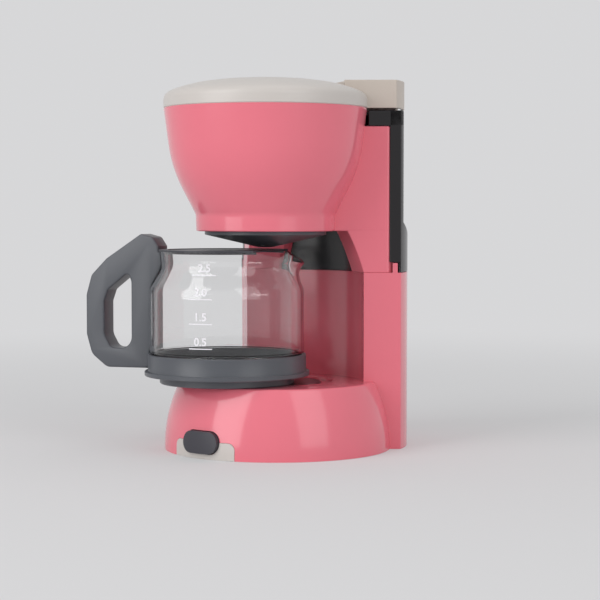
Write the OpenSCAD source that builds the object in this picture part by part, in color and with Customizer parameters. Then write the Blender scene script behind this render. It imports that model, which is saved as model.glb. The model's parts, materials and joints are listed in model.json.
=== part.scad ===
// Toy coffee maker, battery operated, with a lift-out jug, basket, tank and lid.
// Millimetres, +Z up. The origin is the centre of the round base on the table.
// The front, with the push button, faces -Y.

/* [Base] */
// Radius of the base at the table
base_r = 68.2; // [62:0.1:76]
// Height of the flat top of the base
base_h = 40.6; // [36:0.1:46]
// Radius of the curve up the side of the base
base_bulge_r = 86.2; // [80:0.1:120]
// Rounding of the top edge of the base
base_rim_r = 1.8; // [0.8:0.1:3]

/* [Tower] */
// Height of the seam between tower and head
tower_h = 105.8; // [100:0.1:112]
// Half width across the two front corners
tower_front_x = 46.4; // [44:0.1:49]
// Distance of the front corners behind the base centre
tower_front_y = 25; // [23:0.1:27]
// Length of each flared side face
tower_side_l = 22.2; // [20:0.1:24]
// Distance of the round back behind the base centre
tower_back_y = 86.2; // [82:0.1:92]

/* [Brewing head] */
// Distance of the head axis in front of the base centre
head_front = 11; // [10:0.1:12]
// Height of the underside of the head
head_z = 130.7; // [129:0.1:133]
// Height of the open rim of the head
head_top_z = 203.5; // [200:0.1:208]
// Radius of the head at its underside
head_low_r = 41.4; // [40:0.1:43]
// Radius of the head at its rim
head_top_r = 60.5; // [59:0.1:62]
// Height of the top of the wings
wing_z = 193; // [190:0.1:196]

/* [Lid] */
// Height of the middle of the dome
lid_dome_z = 221.2; // [218:0.1:225]
// Height of the raised block over the tank
lid_block_z = 220.4; // [217:0.1:224]

/* [Jug] */
// Radius of the clear jug
jug_r = 45.8; // [43:0.1:47]
// Radius of the jug mouth
jug_mouth_r = 39.4; // [37:0.1:41]
// Height of the jug rim over the table
jug_rim_z = 118.6; // [117:0.1:119.5]
// How far the jug stands out of its seat
jug_out = 24.1; // [0:0.1:40]
// Direction in which it stands out, from the front towards the left
jug_out_turn = 31.2; // [0:0.1:40]
// Turn of the jug about its own axis
jug_turn = 20.4; // [0:0.1:60]
// Width of the handle
handle_w = 14; // [11:0.1:18]

/* [Push button] */
// Width of the button
button_w = 26; // [20:0.1:32]
// Height of the button
button_h = 12.8; // [10:0.1:16]
// How far the button stands out of the base
button_proud = 2.4; // [1.8:0.1:4]
// Height of the middle of the button
button_z = 9.6; // [8.5:0.1:12]
// Travel of the button
button_travel = 1.5; // [0.8:0.1:2]

/* [Making] */
// Wall of the pink mouldings
wall = 2.2; // [1.6:0.1:2.6]
// Wall of the clear parts
clear_wall = 1.8; // [1.4:0.1:2.4]

/* [Hidden] */
$fn = 96;
big = 400;
eps = 0.02;

// tower outline, worked out from the two front corners
side_angle = 40;
side_d = tower_front_x * sin(side_angle) - tower_front_y * cos(side_angle);
crease_x = tower_front_x + tower_side_l * cos(side_angle);
crease_y = tower_front_y + tower_side_l * sin(side_angle);
back_cy = (tower_back_y * tower_back_y - crease_x * crease_x - crease_y * crease_y)
    / (2 * (tower_back_y - crease_y));
back_r = tower_back_y - back_cy;
head_y = -head_front;
niche_r = norm([tower_front_x, tower_front_y - head_y]);

// base
base_arc_x = base_bulge_r - base_r;
base_arc_z = 2;
plate_gap = 0.2;
plate_t = 2.2;
low_z = 0;
plate_top = low_z + plate_t;
deck_z = tower_h - wall;
switch_band = 1.2;
switch_plate_w = 45.4;
switch_plate_top = 10;
switch_plate_corner = 4;

// warming plate
warm_r = 33;
warm_t = 1.4;
warm_seat_r = 29;

// battery tray
cell_r = 7.25;
cell_l = 49;
cell_nub_r = 2.75;
cell_nub_l = 1.2;
cell_pitch = 15.2;
cell_z = 10.4;
tray_y = 6;
tray_l = 54.4;
tray_w = 46.4;
tray_wall = 1.8;
tray_top = 19.8;
cover_l = 62;
cover_w = 54;
cover_t = 1.8;
cover_gap = 0.3;
cover_tab_r = 5;
groove_l = 24;
groove_y = tray_y - 18;
groove_pitch = 2.2;
cover_tab_y = tray_y + cover_w / 2 + 3;

// screws
screw_r = 1.25;
pilot_r = 1.3;
screw_head_r = 2.8;
screw_head_h = 1.6;
screw_sink = 0.6;
screw_hole_r = 1.6;
cover_screw_head_h = 1;
boss_r = 3.5;
pad_top = 4.8;
rear_post_z = 34;
plate_screws = [[54, -20], [-54, -20], [50.5, 49], [-50.5, 49], [21, 74], [-21, 74]];
leg_screw = [46, 35.8];
back_screw_x = 47;
back_screw_z = [151, 182];

// speaker
speaker_y = 62;
speaker_r = 18;
speaker_h = 9;
grille_pitch = 4.2;
grille_r = 1.1;

// circuit board and switch
board_y = -54;
board_t = 1.6;
board_w = 40;
board_z0 = 4;
board_z1 = 30;
switch_l = 3.3;
switch_half = 3.7;

// head
head_knee_r = head_low_r + 0.3;
head_knee_z = head_z + 9.8;
head_shoulder_r = 56;
head_shoulder_z = 168.5;
head_lip_t = 2.2;
wing_x = 57.6;
head_split_y = 41.5;
back_t = 2;
back_sink = 1.4;
arch_forward = 9.3;
arch_r = 140;
window_low_x = 28;
window_high_x = 21;
reveal_angle = 32.7;

// frame and tank
frame_gap = 0.2;
frame_wall = 2;
cup_rim_front = 137;
cup_rim_back = 117;
frame_y = head_split_y + 0.3;
frame_top = 202.4;
bar_x = 58.1;
bar_back_y = frame_y + 2;
bridge_r = 61.3;
tank_gap = 0.3;
tank_front_r = 66;
tank_front_y = bar_back_y + 0.6;
tank_z = tower_h + frame_gap + frame_wall + 0.2;
tank_top = 202.4;

// basket
basket_gap = 1;
basket_wall = 1.6;
basket_top = 196;
basket_spigot_r = 36.3;
basket_spigot_z = 128.6;
basket_tip_z = 121;
basket_tab_x = 46;

// lid
lid_r = head_top_r + 0.1;
lid_edge_z = 210.8;
lid_z = head_top_z;
lid_block_low = 203.7;
lid_over = 1.2;
lid_back_over = -2.2;
lid_block_front_r = 47;
lid_ring_r = 45;
lid_ring_z = 193.5;
lid_ring_t = 1.6;
lid_ring_gap = 16;
lid_t = 2;

// jug
jug_foot_r = 40;
jug_foot_h = 4.7;
jug_flange_r = 49;
jug_flange_h = 2.7;
jug_ring_r = 47;
jug_ring_h = 10;
jug_z0 = base_h;
jug_z1 = jug_z0 + jug_foot_h;
jug_z2 = jug_z1 + jug_flange_h;
jug_z3 = jug_z2 + jug_ring_h;
jug_seat_r = jug_ring_r - 2.3;
jug_floor_z = jug_z2 + 2;
jug_shoulder_z = 96;
jug_neck_z = 110;
jug_neck_r = jug_mouth_r - 1;
jug_lid_t = 1.2;
jug_lid_dish = 0.4;
jug_lid_skirt = 2.4;
spout_tip_r = 48;
spout_tip_z = 112.4;
spout_r = 14;
spout_lean = 19.5;
spout_chord_x = 28.6;
handle_clear = 0.3;

// ---------- small tools ----------

function unit(v) = v / norm(v);
function cross2(a, b) = a[0] * b[1] - a[1] * b[0];
function next(i, n) = (i + 1) % n;
function prev(i, n) = (i + n - 1) % n;

// the sliver between a corner and the arc that rounds it
module corner_piece(p, q0, q1, r) {
    a = unit(q0 - p);
    b = unit(q1 - p);
    half = acos(a * b) / 2;
    t = r / tan(half);
    c = p + unit(a + b) * r / sin(half);
    difference() {
        polygon([p - unit(a + b) * 0.4, p + a * t, c, p + b * t]);
        translate(c) circle(r);
    }
}

// polygon, anticlockwise, with a radius for each corner
module rounded(pts, radii) {
    n = len(pts);
    difference() {
        union() {
            polygon(pts);
            for (i = [0 : n - 1])
                if (radii[i] > 0 && turn(pts, i, n) < 0)
                    corner_piece(pts[i], pts[prev(i, n)], pts[next(i, n)], radii[i]);
        }
        for (i = [0 : n - 1])
            if (radii[i] > 0 && turn(pts, i, n) > 0)
                corner_piece(pts[i], pts[prev(i, n)], pts[next(i, n)], radii[i]);
    }
}

function turn(pts, i, n) =
    cross2(pts[i] - pts[prev(i, n)], pts[next(i, n)] - pts[i]);

module both_sides() {
    children();
    mirror([1, 0, 0]) children();
}

module block(x0, x1, y0, y1, z0, z1) {
    translate([x0, y0, z0]) cube([x1 - x0, y1 - y0, z1 - z0]);
}

module prism(z0, z1) {
    translate([0, 0, z0]) linear_extrude(height = z1 - z0) children();
}

module disc(r, z0, z1) {
    translate([0, 0, z0]) cylinder(h = z1 - z0, r = r);
}

module screw(length, head_h = screw_head_h) {
    difference() {
        union() {
            disc(screw_head_r, 0, head_h);
            disc(screw_r, head_h - eps, head_h + length);
        }
        for (a = [0, 90])
            rotate(a) block(-1.7, 1.7, -0.35, 0.35, -eps, head_h * 0.55);
    }
}

module pill(w, h) {
    translate([-(w - h) / 2, 0]) circle(d = h);
    translate([(w - h) / 2, 0]) circle(d = h);
    translate([-(w - h) / 2, -h / 2]) square([w - h, h]);
}

// a flat shape drawn in x and z, pushed through from y0 to y1
module through(y0, y1) {
    translate([0, y1, 0]) rotate([90, 0, 0]) linear_extrude(height = y1 - y0) children();
}

// ---------- base ----------

module base_side(inset, z0, z1) {
    intersection() {
        translate([-base_arc_x, base_arc_z]) circle(base_bulge_r - inset, $fn = 200);
        translate([0, z0]) square([big, z1 - z0]);
    }
}

module base_outer_profile() {
    reach = base_bulge_r - base_rim_r;
    cz = base_h - base_rim_r;
    cx = sqrt(reach * reach - pow(cz - base_arc_z, 2)) - base_arc_x;
    out = [cx + base_arc_x, cz - base_arc_z] * 1.2;
    intersection() {
        base_side(0, low_z, base_h);
        union() {
            polygon([[0, low_z - 1], [big, low_z - 1], [out[0] - base_arc_x, out[1] + base_arc_z],
                [cx, cz], [cx, base_h], [0, base_h]]);
            translate([cx, cz]) circle(base_rim_r);
        }
    }
}

// a band that follows the side of the base between two insets
module base_band(inset_out, inset_in, z0, z1) {
    rotate_extrude() difference() {
        base_side(inset_out, z0, z1);
        base_side(inset_in, z0 - 1, z1 + 1);
    }
}

// ---------- tower outline ----------

module flare(inset) {
    apex = -(side_d - inset) / cos(side_angle);
    run = 130;
    polygon([[0, apex],
        [run * cos(side_angle), apex + run * sin(side_angle)], [run * cos(side_angle), 150],
        [-run * cos(side_angle), 150],
        [-run * cos(side_angle), apex + run * sin(side_angle)]]);
}

module about_head(r) {
    translate([0, head_y]) circle(r);
}

module rear_plan(inset, front_r, back_inset) {
    difference() {
        intersection() {
            flare(inset);
            translate([0, back_cy]) circle(back_r - back_inset, $fn = 160);
        }
        about_head(front_r);
    }
}

module tower_plan(inset = 0) {
    rear_plan(inset, niche_r + inset, inset);
}

// ---------- lower housing ----------

module switch_plate_shape(grow) {
    w = switch_plate_w / 2 + grow;
    top = switch_plate_top + grow;
    r = switch_plate_corner;
    rounded([[-w, -5], [w, -5], [w, top], [-w, top]], [0, 0, r, r]);
}

module screw_post(at, z1) {
    translate([at[0], at[1], 0]) difference() {
        disc(boss_r, pad_top, z1);
        disc(pilot_r, pad_top - 1, pad_top + 9);
    }
}

module lower_shell() {
    difference() {
        union() {
            rotate_extrude() base_outer_profile();
            prism(low_z, tower_h) tower_plan();
        }
        rotate_extrude() base_side(wall, -1, base_h - wall);
        prism(-1, deck_z) tower_plan(wall);
    }
}

module lower_housing() color([0.9, 0.45, 0.55]) {
    difference() {
        union() {
            lower_shell();
            // thicker seat round the warming plate
            translate([0, head_y, 0]) disc(warm_r + 3, base_h - warm_t - 2, base_h - wall + eps);
            // thicker wall behind the switch plate
            intersection() {
                base_band(wall - eps, wall + switch_band, low_z, 20);
                through(-big, 0) switch_plate_shape(4);
            }
            intersection() {
                for (i = [0, 1]) screw_post(plate_screws[i], base_h - wall + eps);
                rotate_extrude() base_side(1, 0, base_h);
            }
            for (i = [2 : 5]) screw_post(plate_screws[i], rear_post_z);
            // ribs that tie the rear posts to the back wall
            intersection() {
                union() {
                    both_sides() for (i = [2, 4])
                        translate([plate_screws[i][0], plate_screws[i][1], 0])
                            rotate(atan2(plate_screws[i][1] - back_cy, plate_screws[i][0]))
                                block(boss_r - 0.7, boss_r + 5, -1, 1, pad_top + 3, rear_post_z);
                }
                prism(0, deck_z) tower_plan(wall - 0.3);
            }
            // locating tabs at the foot of the frame bars
            both_sides() locating_tab();
        }
        translate([0, head_y, 0]) {
            disc(warm_r + plate_gap, base_h - warm_t, base_h + 1);
            disc(warm_seat_r, base_h - 8, base_h + 1);
        }
        intersection() {
            base_band(-3, switch_band, low_z - 1, 20);
            through(-big, 0) switch_plate_shape(0.15);
        }
        through(-big, board_y) translate([0, button_z]) pill(button_w + 0.8, button_h + 0.8);
        both_sides() translate([leg_screw[0], leg_screw[1], 0]) disc(1.6, deck_z - 1, tower_h + 1);
        // vents in the back of the tower
        for (i = [-2 : 2])
            block(i * 7 - 1.5, i * 7 + 1.5, tower_back_y - 8, tower_back_y + 2, 60, 78);
    }
}

module locating_tab() {
    intersection() {
        prism(tower_h - eps, tower_h + 6) tower_plan(0.4);
        block(59.2, 62.2, 0, 38.4, tower_h - 1, tower_h + 6);
    }
}

// ---------- underside ----------

module cover_shape(gap) {
    translate([-cover_l / 2 - gap, tray_y - cover_w / 2 - gap])
        square([cover_l + 2 * gap, cover_w + 2 * gap]);
    translate([0, cover_tab_y]) circle(cover_tab_r + gap);
}

module tray_frame(grow, z0, z1) {
    block(-tray_l / 2 - grow, tray_l / 2 + grow,
        tray_y - tray_w / 2 - grow, tray_y + tray_w / 2 + grow, z0, z1);
}

module bottom_plate() color([0.88, 0.43, 0.53]) {
    ledge = 6;
    difference() {
        union() {
            difference() {
                union() {
                    disc(base_r - wall - plate_gap, low_z, plate_top);
                    prism(low_z, plate_top) tower_plan(wall + plate_gap);
                }
                prism(low_z - 1, plate_top + 1) cover_shape(cover_gap);
                // room for the thicker wall behind the switch plate
                intersection() {
                    base_band(-1, wall + switch_band + plate_gap, -1, 20);
                    through(-big, 0) switch_plate_shape(4.3);
                }
            }
            // ledge that the battery cover closes against
            difference() {
                union() {
                    tray_frame(ledge, low_z + cover_t, plate_top + 1.4);
                    translate([0, cover_tab_y, 0])
                        disc(cover_tab_r + 2, low_z + cover_t, plate_top + 1.4);
                }
                tray_frame(0, 0, 10);
            }
            difference() {
                tray_frame(tray_wall, low_z + cover_t, tray_top);
                tray_frame(0, 0, tray_top - tray_wall);
            }
            translate([0, cover_tab_y, 0]) disc(boss_r, low_z + cover_t, 14);
            for (at = plate_screws) translate([at[0], at[1], 0]) disc(5, low_z, pad_top);
            // seat of the speaker
            translate([0, speaker_y, 0]) difference() {
                disc(speaker_r + 2, plate_top - eps, plate_top + 5);
                disc(speaker_r + 0.1, plate_top - 1, plate_top + 6);
            }
            // slotted posts that hold the board upright
            both_sides() difference() {
                block(board_w / 2 - 3, board_w / 2 + 3, board_y - 2, board_y + board_t + 2,
                    plate_top - eps, 15);
                block(0, board_w / 2 + 0.2, board_y - 0.1, board_y + board_t + 0.1,
                    board_z0 - 0.1, 16);
            }
        }
        for (at = plate_screws) translate([at[0], at[1], 0]) {
            disc(screw_head_r + 0.4, low_z - 1, low_z + screw_head_h + screw_sink);
            disc(screw_hole_r, low_z - 1, pad_top + 1);
        }
        translate([0, cover_tab_y, 0]) disc(pilot_r, 0, 12);
        for (i = [-3 : 3]) for (j = [-3 : 3])
            if (norm([i, j]) < 3.3)
                translate([i * grille_pitch, speaker_y + j * grille_pitch, 0])
                    disc(grille_r, low_z - 1, plate_top + 1);
    }
}

module battery_cover() color([0.88, 0.43, 0.53]) {
    difference() {
        prism(low_z, low_z + cover_t) cover_shape(0);
        translate([0, cover_tab_y, 0]) {
            disc(screw_head_r + 0.3, low_z - 1, low_z + cover_screw_head_h);
            disc(screw_hole_r, low_z - 1, 4);
        }
        // finger grooves
        for (i = [-3 : 3])
            block(-groove_l / 2, groove_l / 2, groove_y + i * groove_pitch,
                groove_y + i * groove_pitch + 1, low_z - 1, low_z + 0.6);
    }
}

module battery_cover_screw() color([0.7, 0.7, 0.72]) {
    translate([0, cover_tab_y, low_z]) screw(8, cover_screw_head_h);
}

module cell() {
    rotate([0, 90, 0]) {
        translate([0, 0, -cell_l / 2]) cylinder(h = cell_l, r = cell_r);
        translate([0, 0, cell_l / 2 - eps]) cylinder(h = cell_nub_l + eps, r = cell_nub_r);
    }
}

module batteries() color([0.2, 0.2, 0.22]) {
    for (i = [-1 : 1])
        translate([0, tray_y + i * cell_pitch, cell_z]) rotate(i == 0 ? 180 : 0) cell();
}

// flat plate with a dimple, and with a coil for the other end of the cell
module contact(coil) {
    block(-0.4, 0, -5.5, 5.5, -6, 6);
    if (coil)
        for (i = [0 : 2])
            translate([-1.05 - i * 0.45, 0, 0]) rotate([0, 90, 0]) rotate_extrude()
                translate([3.2 - i * 0.45, 0]) square([0.7, 0.7]);
    else
        translate([-0.8, 0, 0]) rotate([0, 90, 0]) cylinder(h = 0.6, r = 2);
}

module battery_contacts() color([0.75, 0.72, 0.6]) {
    for (i = [-1 : 1])
        translate([0, tray_y + i * cell_pitch, cell_z]) {
            translate([tray_l / 2, 0, 0]) contact(i == 0);
            mirror([1, 0, 0]) translate([tray_l / 2, 0, 0]) contact(i != 0);
        }
}

module bottom_screws() color([0.7, 0.7, 0.72]) {
    for (at = plate_screws) translate([at[0], at[1], low_z + screw_sink]) screw(10);
}

// ---------- sound and switch ----------

module circuit_board() color([0.1, 0.35, 0.2]) {
    y1 = board_y + board_t;
    block(-board_w / 2, board_w / 2, board_y, y1, board_z0, board_z1);
    // chip, capacitor, crystal and wire pads
    block(-5, 5, y1 - eps, y1 + 2.4, 10, 20);
    translate([12, y1 - eps, 14]) rotate([-90, 0, 0]) cylinder(h = 7, r = 3);
    block(-15, -9, y1 - eps, y1 + 3, 16, 19);
    for (i = [0 : 3])
        translate([-13 + i * 3.5, y1 - eps, 26]) rotate([-90, 0, 0]) cylinder(h = 1, r = 1);
}

module push_switch() color([0.2, 0.2, 0.2]) {
    block(-switch_half, switch_half, board_y - switch_l, board_y,
        button_z - switch_half, button_z + switch_half);
    translate([0, board_y - switch_l + eps, button_z]) rotate([90, 0, 0])
        cylinder(h = 1, r = 2);
}

module speaker() color([0.25, 0.25, 0.27]) {
    translate([0, speaker_y, plate_top]) {
        difference() {
            disc(speaker_r, 0, 3);
            translate([0, 0, -1]) cylinder(h = 3, r1 = speaker_r - 1, r2 = 6);
        }
        translate([0, 0, 3 - eps]) cylinder(h = 3, r1 = speaker_r - 1, r2 = 10);
        disc(9, 6 - 2 * eps, speaker_h);
    }
}

module switch_plate() color([0.86, 0.84, 0.82]) {
    difference() {
        intersection() {
            base_band(-0.2, switch_band - 0.1, low_z, 20);
            through(-big, 0) switch_plate_shape(0);
        }
        through(-big, board_y) translate([0, button_z]) pill(button_w + 0.8, button_h + 0.8);
    }
}

module power_button() color([0.3, 0.32, 0.34]) {
    flange_y = board_y - 8.2;
    flange_t = 1.2;
    stem_y = board_y - switch_l - 1 - button_travel - 0.3;
    intersection() {
        rotate_extrude() difference() {
            base_side(-button_proud, 0, 25);
            square([-flange_y - 3, 25]);
        }
        through(-big, flange_y) translate([0, button_z]) pill(button_w, button_h);
    }
    // body between the curved face and the flange
    through(-base_r + 4, flange_y + eps) translate([0, button_z]) pill(button_w, button_h);
    // flange that keeps the button in the housing
    intersection() {
        through(flange_y, flange_y + flange_t) translate([0, button_z])
            pill(button_w + 3.2, button_h + 3.2);
        block(-big, big, -big, 0, plate_top + 0.3, 40);
    }
    translate([0, stem_y, button_z]) rotate([90, 0, 0])
        cylinder(h = stem_y - flange_y, r = 2.6);
}

// square-section coil round the switch
module button_spring() color([0.7, 0.7, 0.72]) {
    coils = 4;
    coil_l = 6.9;
    translate([0, board_y - 0.05, button_z]) rotate([90, 0, 0])
        linear_extrude(height = coil_l, twist = -360 * coils, slices = 18 * coils, $fn = 16)
            difference() {
                circle(6.3, $fn = 16);
                circle(5.5, $fn = 16);
                translate([-8, -8]) square([16, 8]);
            }
}

module warming_plate() color([0.25, 0.25, 0.27]) {
    translate([0, head_y, 0]) {
        disc(warm_r, base_h - warm_t, base_h - eps);
        difference() {
            disc(warm_seat_r - 0.3, base_h - warm_t - 4, base_h - warm_t + eps);
            disc(warm_seat_r - 2, base_h - warm_t - 5, base_h - warm_t);
        }
    }
}

// ---------- brewing head ----------

function miter(p, a, b, t) = p - t * (a + b) / (1 + a * b);

// half section of the head, pulled in by an inset
module head_profile(inset, z0, z1) {
    low = [head_low_r, head_z];
    knee = [head_knee_r, head_knee_z - 1.4];
    bend = [head_knee_r + 0.6, head_knee_z + 1.1];
    shoulder = [head_shoulder_r, head_shoulder_z];
    top = [head_top_r, head_top_z];
    n0 = side_normal(low, knee);
    n1 = side_normal(knee, bend);
    n2 = side_normal(bend, shoulder);
    n3 = side_normal(shoulder, top);
    p0 = low - inset * n0 - [0, 20];
    p4 = top - inset * n3 + (top - shoulder);
    intersection() {
        rounded([[0, p0[1]], p0, miter(knee, n0, n1, inset), miter(bend, n1, n2, inset),
            miter(shoulder, n2, n3, inset), p4, [0, p4[1]]],
            [0, 0, 0, 0, 24 - inset, 0, 0]);
        translate([0, z0]) square([big, z1 - z0]);
    }
}

function side_normal(a, b) = unit([b[1] - a[1], a[0] - b[0]]);

module wing_plan(inset, rear_y = head_split_y - back_t) {
    intersection() {
        flare(inset);
        translate([-wing_x + inset, -60]) square([2 * (wing_x - inset), 60 + rear_y]);
    }
}

// everything in front of the curved front edge of the legs
module arch_cutter(grow) {
    foot = tower_front_x * sin(reveal_angle) + tower_front_y * cos(reveal_angle) + grow;
    a = [foot, tower_h];
    b = [foot - arch_forward, head_z];
    run = b - a;
    out = unit([run[1], -run[0]]);
    c = (a + b) / 2 - out * sqrt(arch_r * arch_r - run * run / 4);
    rotate(-reveal_angle) translate([-60, 0, 0]) rotate([90, 0, 90]) linear_extrude(height = 160)
        intersection() {
            translate(c) circle(arch_r, $fn = 200);
            translate([-60, tower_h - 1]) square([120, head_z - tower_h + 1 + 3 * grow]);
        }
}

module window_cutter(grow) {
    lean = (window_low_x - window_high_x) / (head_z - tower_h);
    top = head_z + 3 * grow;
    low_x = window_low_x + grow + lean;
    top_x = window_low_x + grow - lean * (top - tower_h);
    through(-big, big)
        polygon([[-low_x, tower_h - 1], [low_x, tower_h - 1], [top_x, top], [-top_x, top]]);
}

module legs() {
    difference() {
        prism(tower_h, head_z + eps) wing_plan(0);
        intersection() {
            both_sides() intersection() {
                arch_cutter(0);
                block(0, big, -big, big, 0, big);
            }
            block(-big, big, -big, big, 0, head_z);
        }
        window_cutter(0);
        // hollow, open at the rear
        difference() {
            prism(tower_h + wall, head_z + 2 * wall) wing_plan(wall, head_split_y);
            both_sides() intersection() {
                arch_cutter(wall);
                block(0, big, -big, big, 0, big);
            }
            window_cutter(wall);
        }
    }
}

module upper_housing() color([0.9, 0.45, 0.55]) {
    difference() {
        union() {
            difference() {
                prism(head_z, wing_z) wing_plan(0);
                prism(head_z + wall, wing_z - wall) wing_plan(wall, head_split_y);
            }
            legs();
            translate([0, head_y, 0]) rotate_extrude() head_profile(0, head_z, head_top_z);
            both_sides() {
                translate([leg_screw[0], leg_screw[1], 0]) disc(3.2, tower_h, tower_h + 12);
                for (z = back_screw_z) back_post(z);
            }
        }
        translate([0, head_y, 0]) {
            rotate_extrude() head_profile(wall, head_z + head_lip_t, head_top_z + 2);
            disc(basket_spigot_r + 1, head_z - 1, head_z + 5);
        }
        both_sides() {
            translate([leg_screw[0], leg_screw[1], 0]) disc(pilot_r, tower_h - 1, tower_h + 10);
            for (z = back_screw_z)
                translate([back_screw_x, head_split_y, z]) rotate([90, 0, 0])
                    cylinder(h = 11, r = pilot_r);
        }
    }
}

// screw post for the rear wall, tied to the side of the wing
module back_post(z) {
    y1 = head_split_y - back_t;
    translate([back_screw_x, y1, z]) rotate([90, 0, 0]) cylinder(h = 10, r = 3.2);
    block(back_screw_x + 2.5, wing_x - wall + 0.1, y1 - 5, y1 - 1, z - 1, z + 1);
}

module head_back() color([0.88, 0.43, 0.53]) {
    y0 = head_split_y - back_t;
    difference() {
        block(-wing_x, wing_x, y0, head_split_y, tower_h, wing_z);
        window_cutter(0);
        both_sides() for (z = back_screw_z)
            translate([back_screw_x, 0, z]) rotate([-90, 0, 0]) {
                disc(1.5, y0 - 1, head_split_y + 1);
                disc(screw_head_r + 0.2, head_split_y - back_sink, head_split_y + 1);
            }
        // the head stands through the plate here
        translate([0, head_y, 0]) rotate_extrude() head_profile(-0.1, head_z - 1, wing_z + 2);
    }
}

module head_screws() color([0.7, 0.7, 0.72]) {
    both_sides() {
        translate([leg_screw[0], leg_screw[1], deck_z - screw_head_h]) screw(10);
        for (z = back_screw_z)
            translate([back_screw_x, head_split_y - 0.2, z]) rotate([90, 0, 0])
                screw(7, back_sink - 0.2);
    }
}

// ---------- frame and tank ----------

module behind(y) {
    translate([-big / 2, y]) square([big, big]);
}

module tank_frame() color([0.1, 0.1, 0.11]) {
    z0 = tower_h + frame_gap;
    difference() {
        union() {
            // cup with a rim that falls towards the back
            difference() {
                prism(z0, cup_rim_front + 5) intersection() {
                    tower_plan();
                    behind(frame_y);
                }
                prism(z0 + frame_wall, cup_rim_front + 6) intersection() {
                    tower_plan(frame_wall);
                    behind(frame_y + frame_wall);
                }
                rim_cutter();
            }
            // side bars
            prism(z0, frame_top) intersection() {
                tower_plan();
                union() {
                    translate([bar_x, 0]) square([20, bar_back_y]);
                    translate([-bar_x - 20, 0]) square([20, bar_back_y]);
                }
            }
            // arms on top of the wings
            difference() {
                prism(wing_z + frame_gap, frame_top) intersection() {
                    rear_plan(0, bridge_r, 0);
                    translate([-big / 2, -60]) square([big, 60 + bar_back_y]);
                }
                prism(wing_z + frame_gap + frame_wall, frame_top + 1) intersection() {
                    rear_plan(frame_wall, bridge_r + frame_wall, frame_wall);
                    translate([-big / 2, -60]) square([big, 60 + bar_back_y - frame_wall]);
                }
            }
            // bridge behind the head
            prism(wing_z + frame_gap, frame_top) difference() {
                about_head(tank_front_r - 0.4);
                about_head(bridge_r);
                translate([-big / 2, -big]) square([big, big + bar_back_y - 1]);
            }
        }
        both_sides() tab_notch();
    }
}

// slot at the foot of a bar, open to the front, for the locating tab
module tab_notch() {
    block(58.9, 62.6, 20, 38.7, tower_h - 1, tower_h + 6.4);
}

module rim_cutter() {
    run = tower_back_y - frame_y;
    drop = cup_rim_front - cup_rim_back;
    translate([0, frame_y, cup_rim_front]) rotate([-atan(drop / run), 0, 0])
        block(-big / 2, big / 2, -20, big, 0, 60);
}

module tank_plan(inset) {
    intersection() {
        difference() {
            translate([0, back_cy])
                circle(back_r - frame_wall - tank_gap - inset, $fn = 160);
            about_head(tank_front_r + inset);
        }
        behind(tank_front_y + inset);
    }
}

module water_tank() color([0.62, 0.6, 0.62, 0.6]) {
    difference() {
        prism(tank_z, tank_top) tank_plan(0);
        prism(tank_z + 2, tank_top + 1) tank_plan(clear_wall);
    }
}

// ---------- filter basket ----------

module basket_outer(inset) {
    low = head_z + head_lip_t;
    head_profile(wall + basket_gap + inset, low + inset, basket_top + (inset > 0 ? 2 : 0));
}

module filter_basket() color([0.4, 0.42, 0.44]) {
    low = head_z + head_lip_t;
    cone_h = basket_spigot_z - basket_tip_z;
    translate([0, head_y, 0]) difference() {
        union() {
            rotate_extrude() basket_outer(0);
            disc(basket_spigot_r, basket_spigot_z, low + 1);
            translate([0, 0, basket_tip_z])
                cylinder(h = cone_h + eps, r1 = 4, r2 = basket_spigot_r);
        }
        difference() {
            rotate_extrude() basket_outer(basket_wall);
            for (a = [0 : 45 : 315]) rotate(a) block(38, 60, -0.6, 0.6, low, 170);
            // lifting tabs
            both_sides() block(basket_tab_x, 60, -6, 6, basket_top - basket_wall, basket_top);
        }
        disc(basket_spigot_r - basket_wall, basket_spigot_z + basket_wall, low + 4);
        translate([0, 0, basket_tip_z + basket_wall])
            cylinder(h = cone_h + eps, r1 = 3, r2 = basket_spigot_r - basket_wall);
        for (a = [0 : 60 : 300]) rotate(a) translate([9, 0, 0]) disc(1.2, 110, 135);
        disc(1.5, 110, 135);
    }
}

// ---------- lid ----------

module dome_profile(inset) {
    crown_r = 265;
    intersection() {
        rounded([[0, lid_z - 10], [lid_r - inset, lid_z - 10],
            [lid_r - inset, lid_edge_z + 4.3 - inset], [0, lid_edge_z + 4.3 - inset + 20]],
            [0, 0, 0, 0]);
        translate([0, lid_dome_z - crown_r]) circle(crown_r - inset, $fn = 240);
        dome_edge(inset);
    }
}

// the soft outer edge of the dome
module dome_edge(inset) {
    edge = 7;
    rounded([[0, lid_z - 10], [lid_r - inset, lid_z - 10], [lid_r - inset, lid_dome_z - 6.2],
        [0, lid_dome_z + 3]], [0, 0, edge - inset, 0]);
}

module lid_block_plan(inset) {
    rear_plan(-lid_over + inset, lid_block_front_r + inset, -lid_back_over + inset);
}

module top_lid() color([0.86, 0.84, 0.82]) {
    translate([0, head_y, 0]) rotate_extrude() difference() {
        intersection() {
            dome_profile(0);
            translate([0, lid_z]) square([big, 40]);
        }
        dome_profile(lid_t);
    }
    lid_ring();
}

// the raised block behind the dome, seated on the dome's edge
module lid_block() color([0.84, 0.8, 0.76]) {
    difference() {
        prism(lid_block_low, lid_block_z) lid_block_plan(0);
        prism(lid_block_low - 1, lid_block_z - lid_t) lid_block_plan(lid_t);
        translate([0, head_y, 0]) rotate_extrude() dome_profile(0);
        // finger scoops in the lower edge at the back
        both_sides() translate([0, back_cy, lid_block_low - 8]) rotate(-40)
            translate([0, back_r, 0]) rotate([90, 0, 0]) translate([0, 0, -8])
                cylinder(h = 16, r = 12);
    }
}

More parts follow.
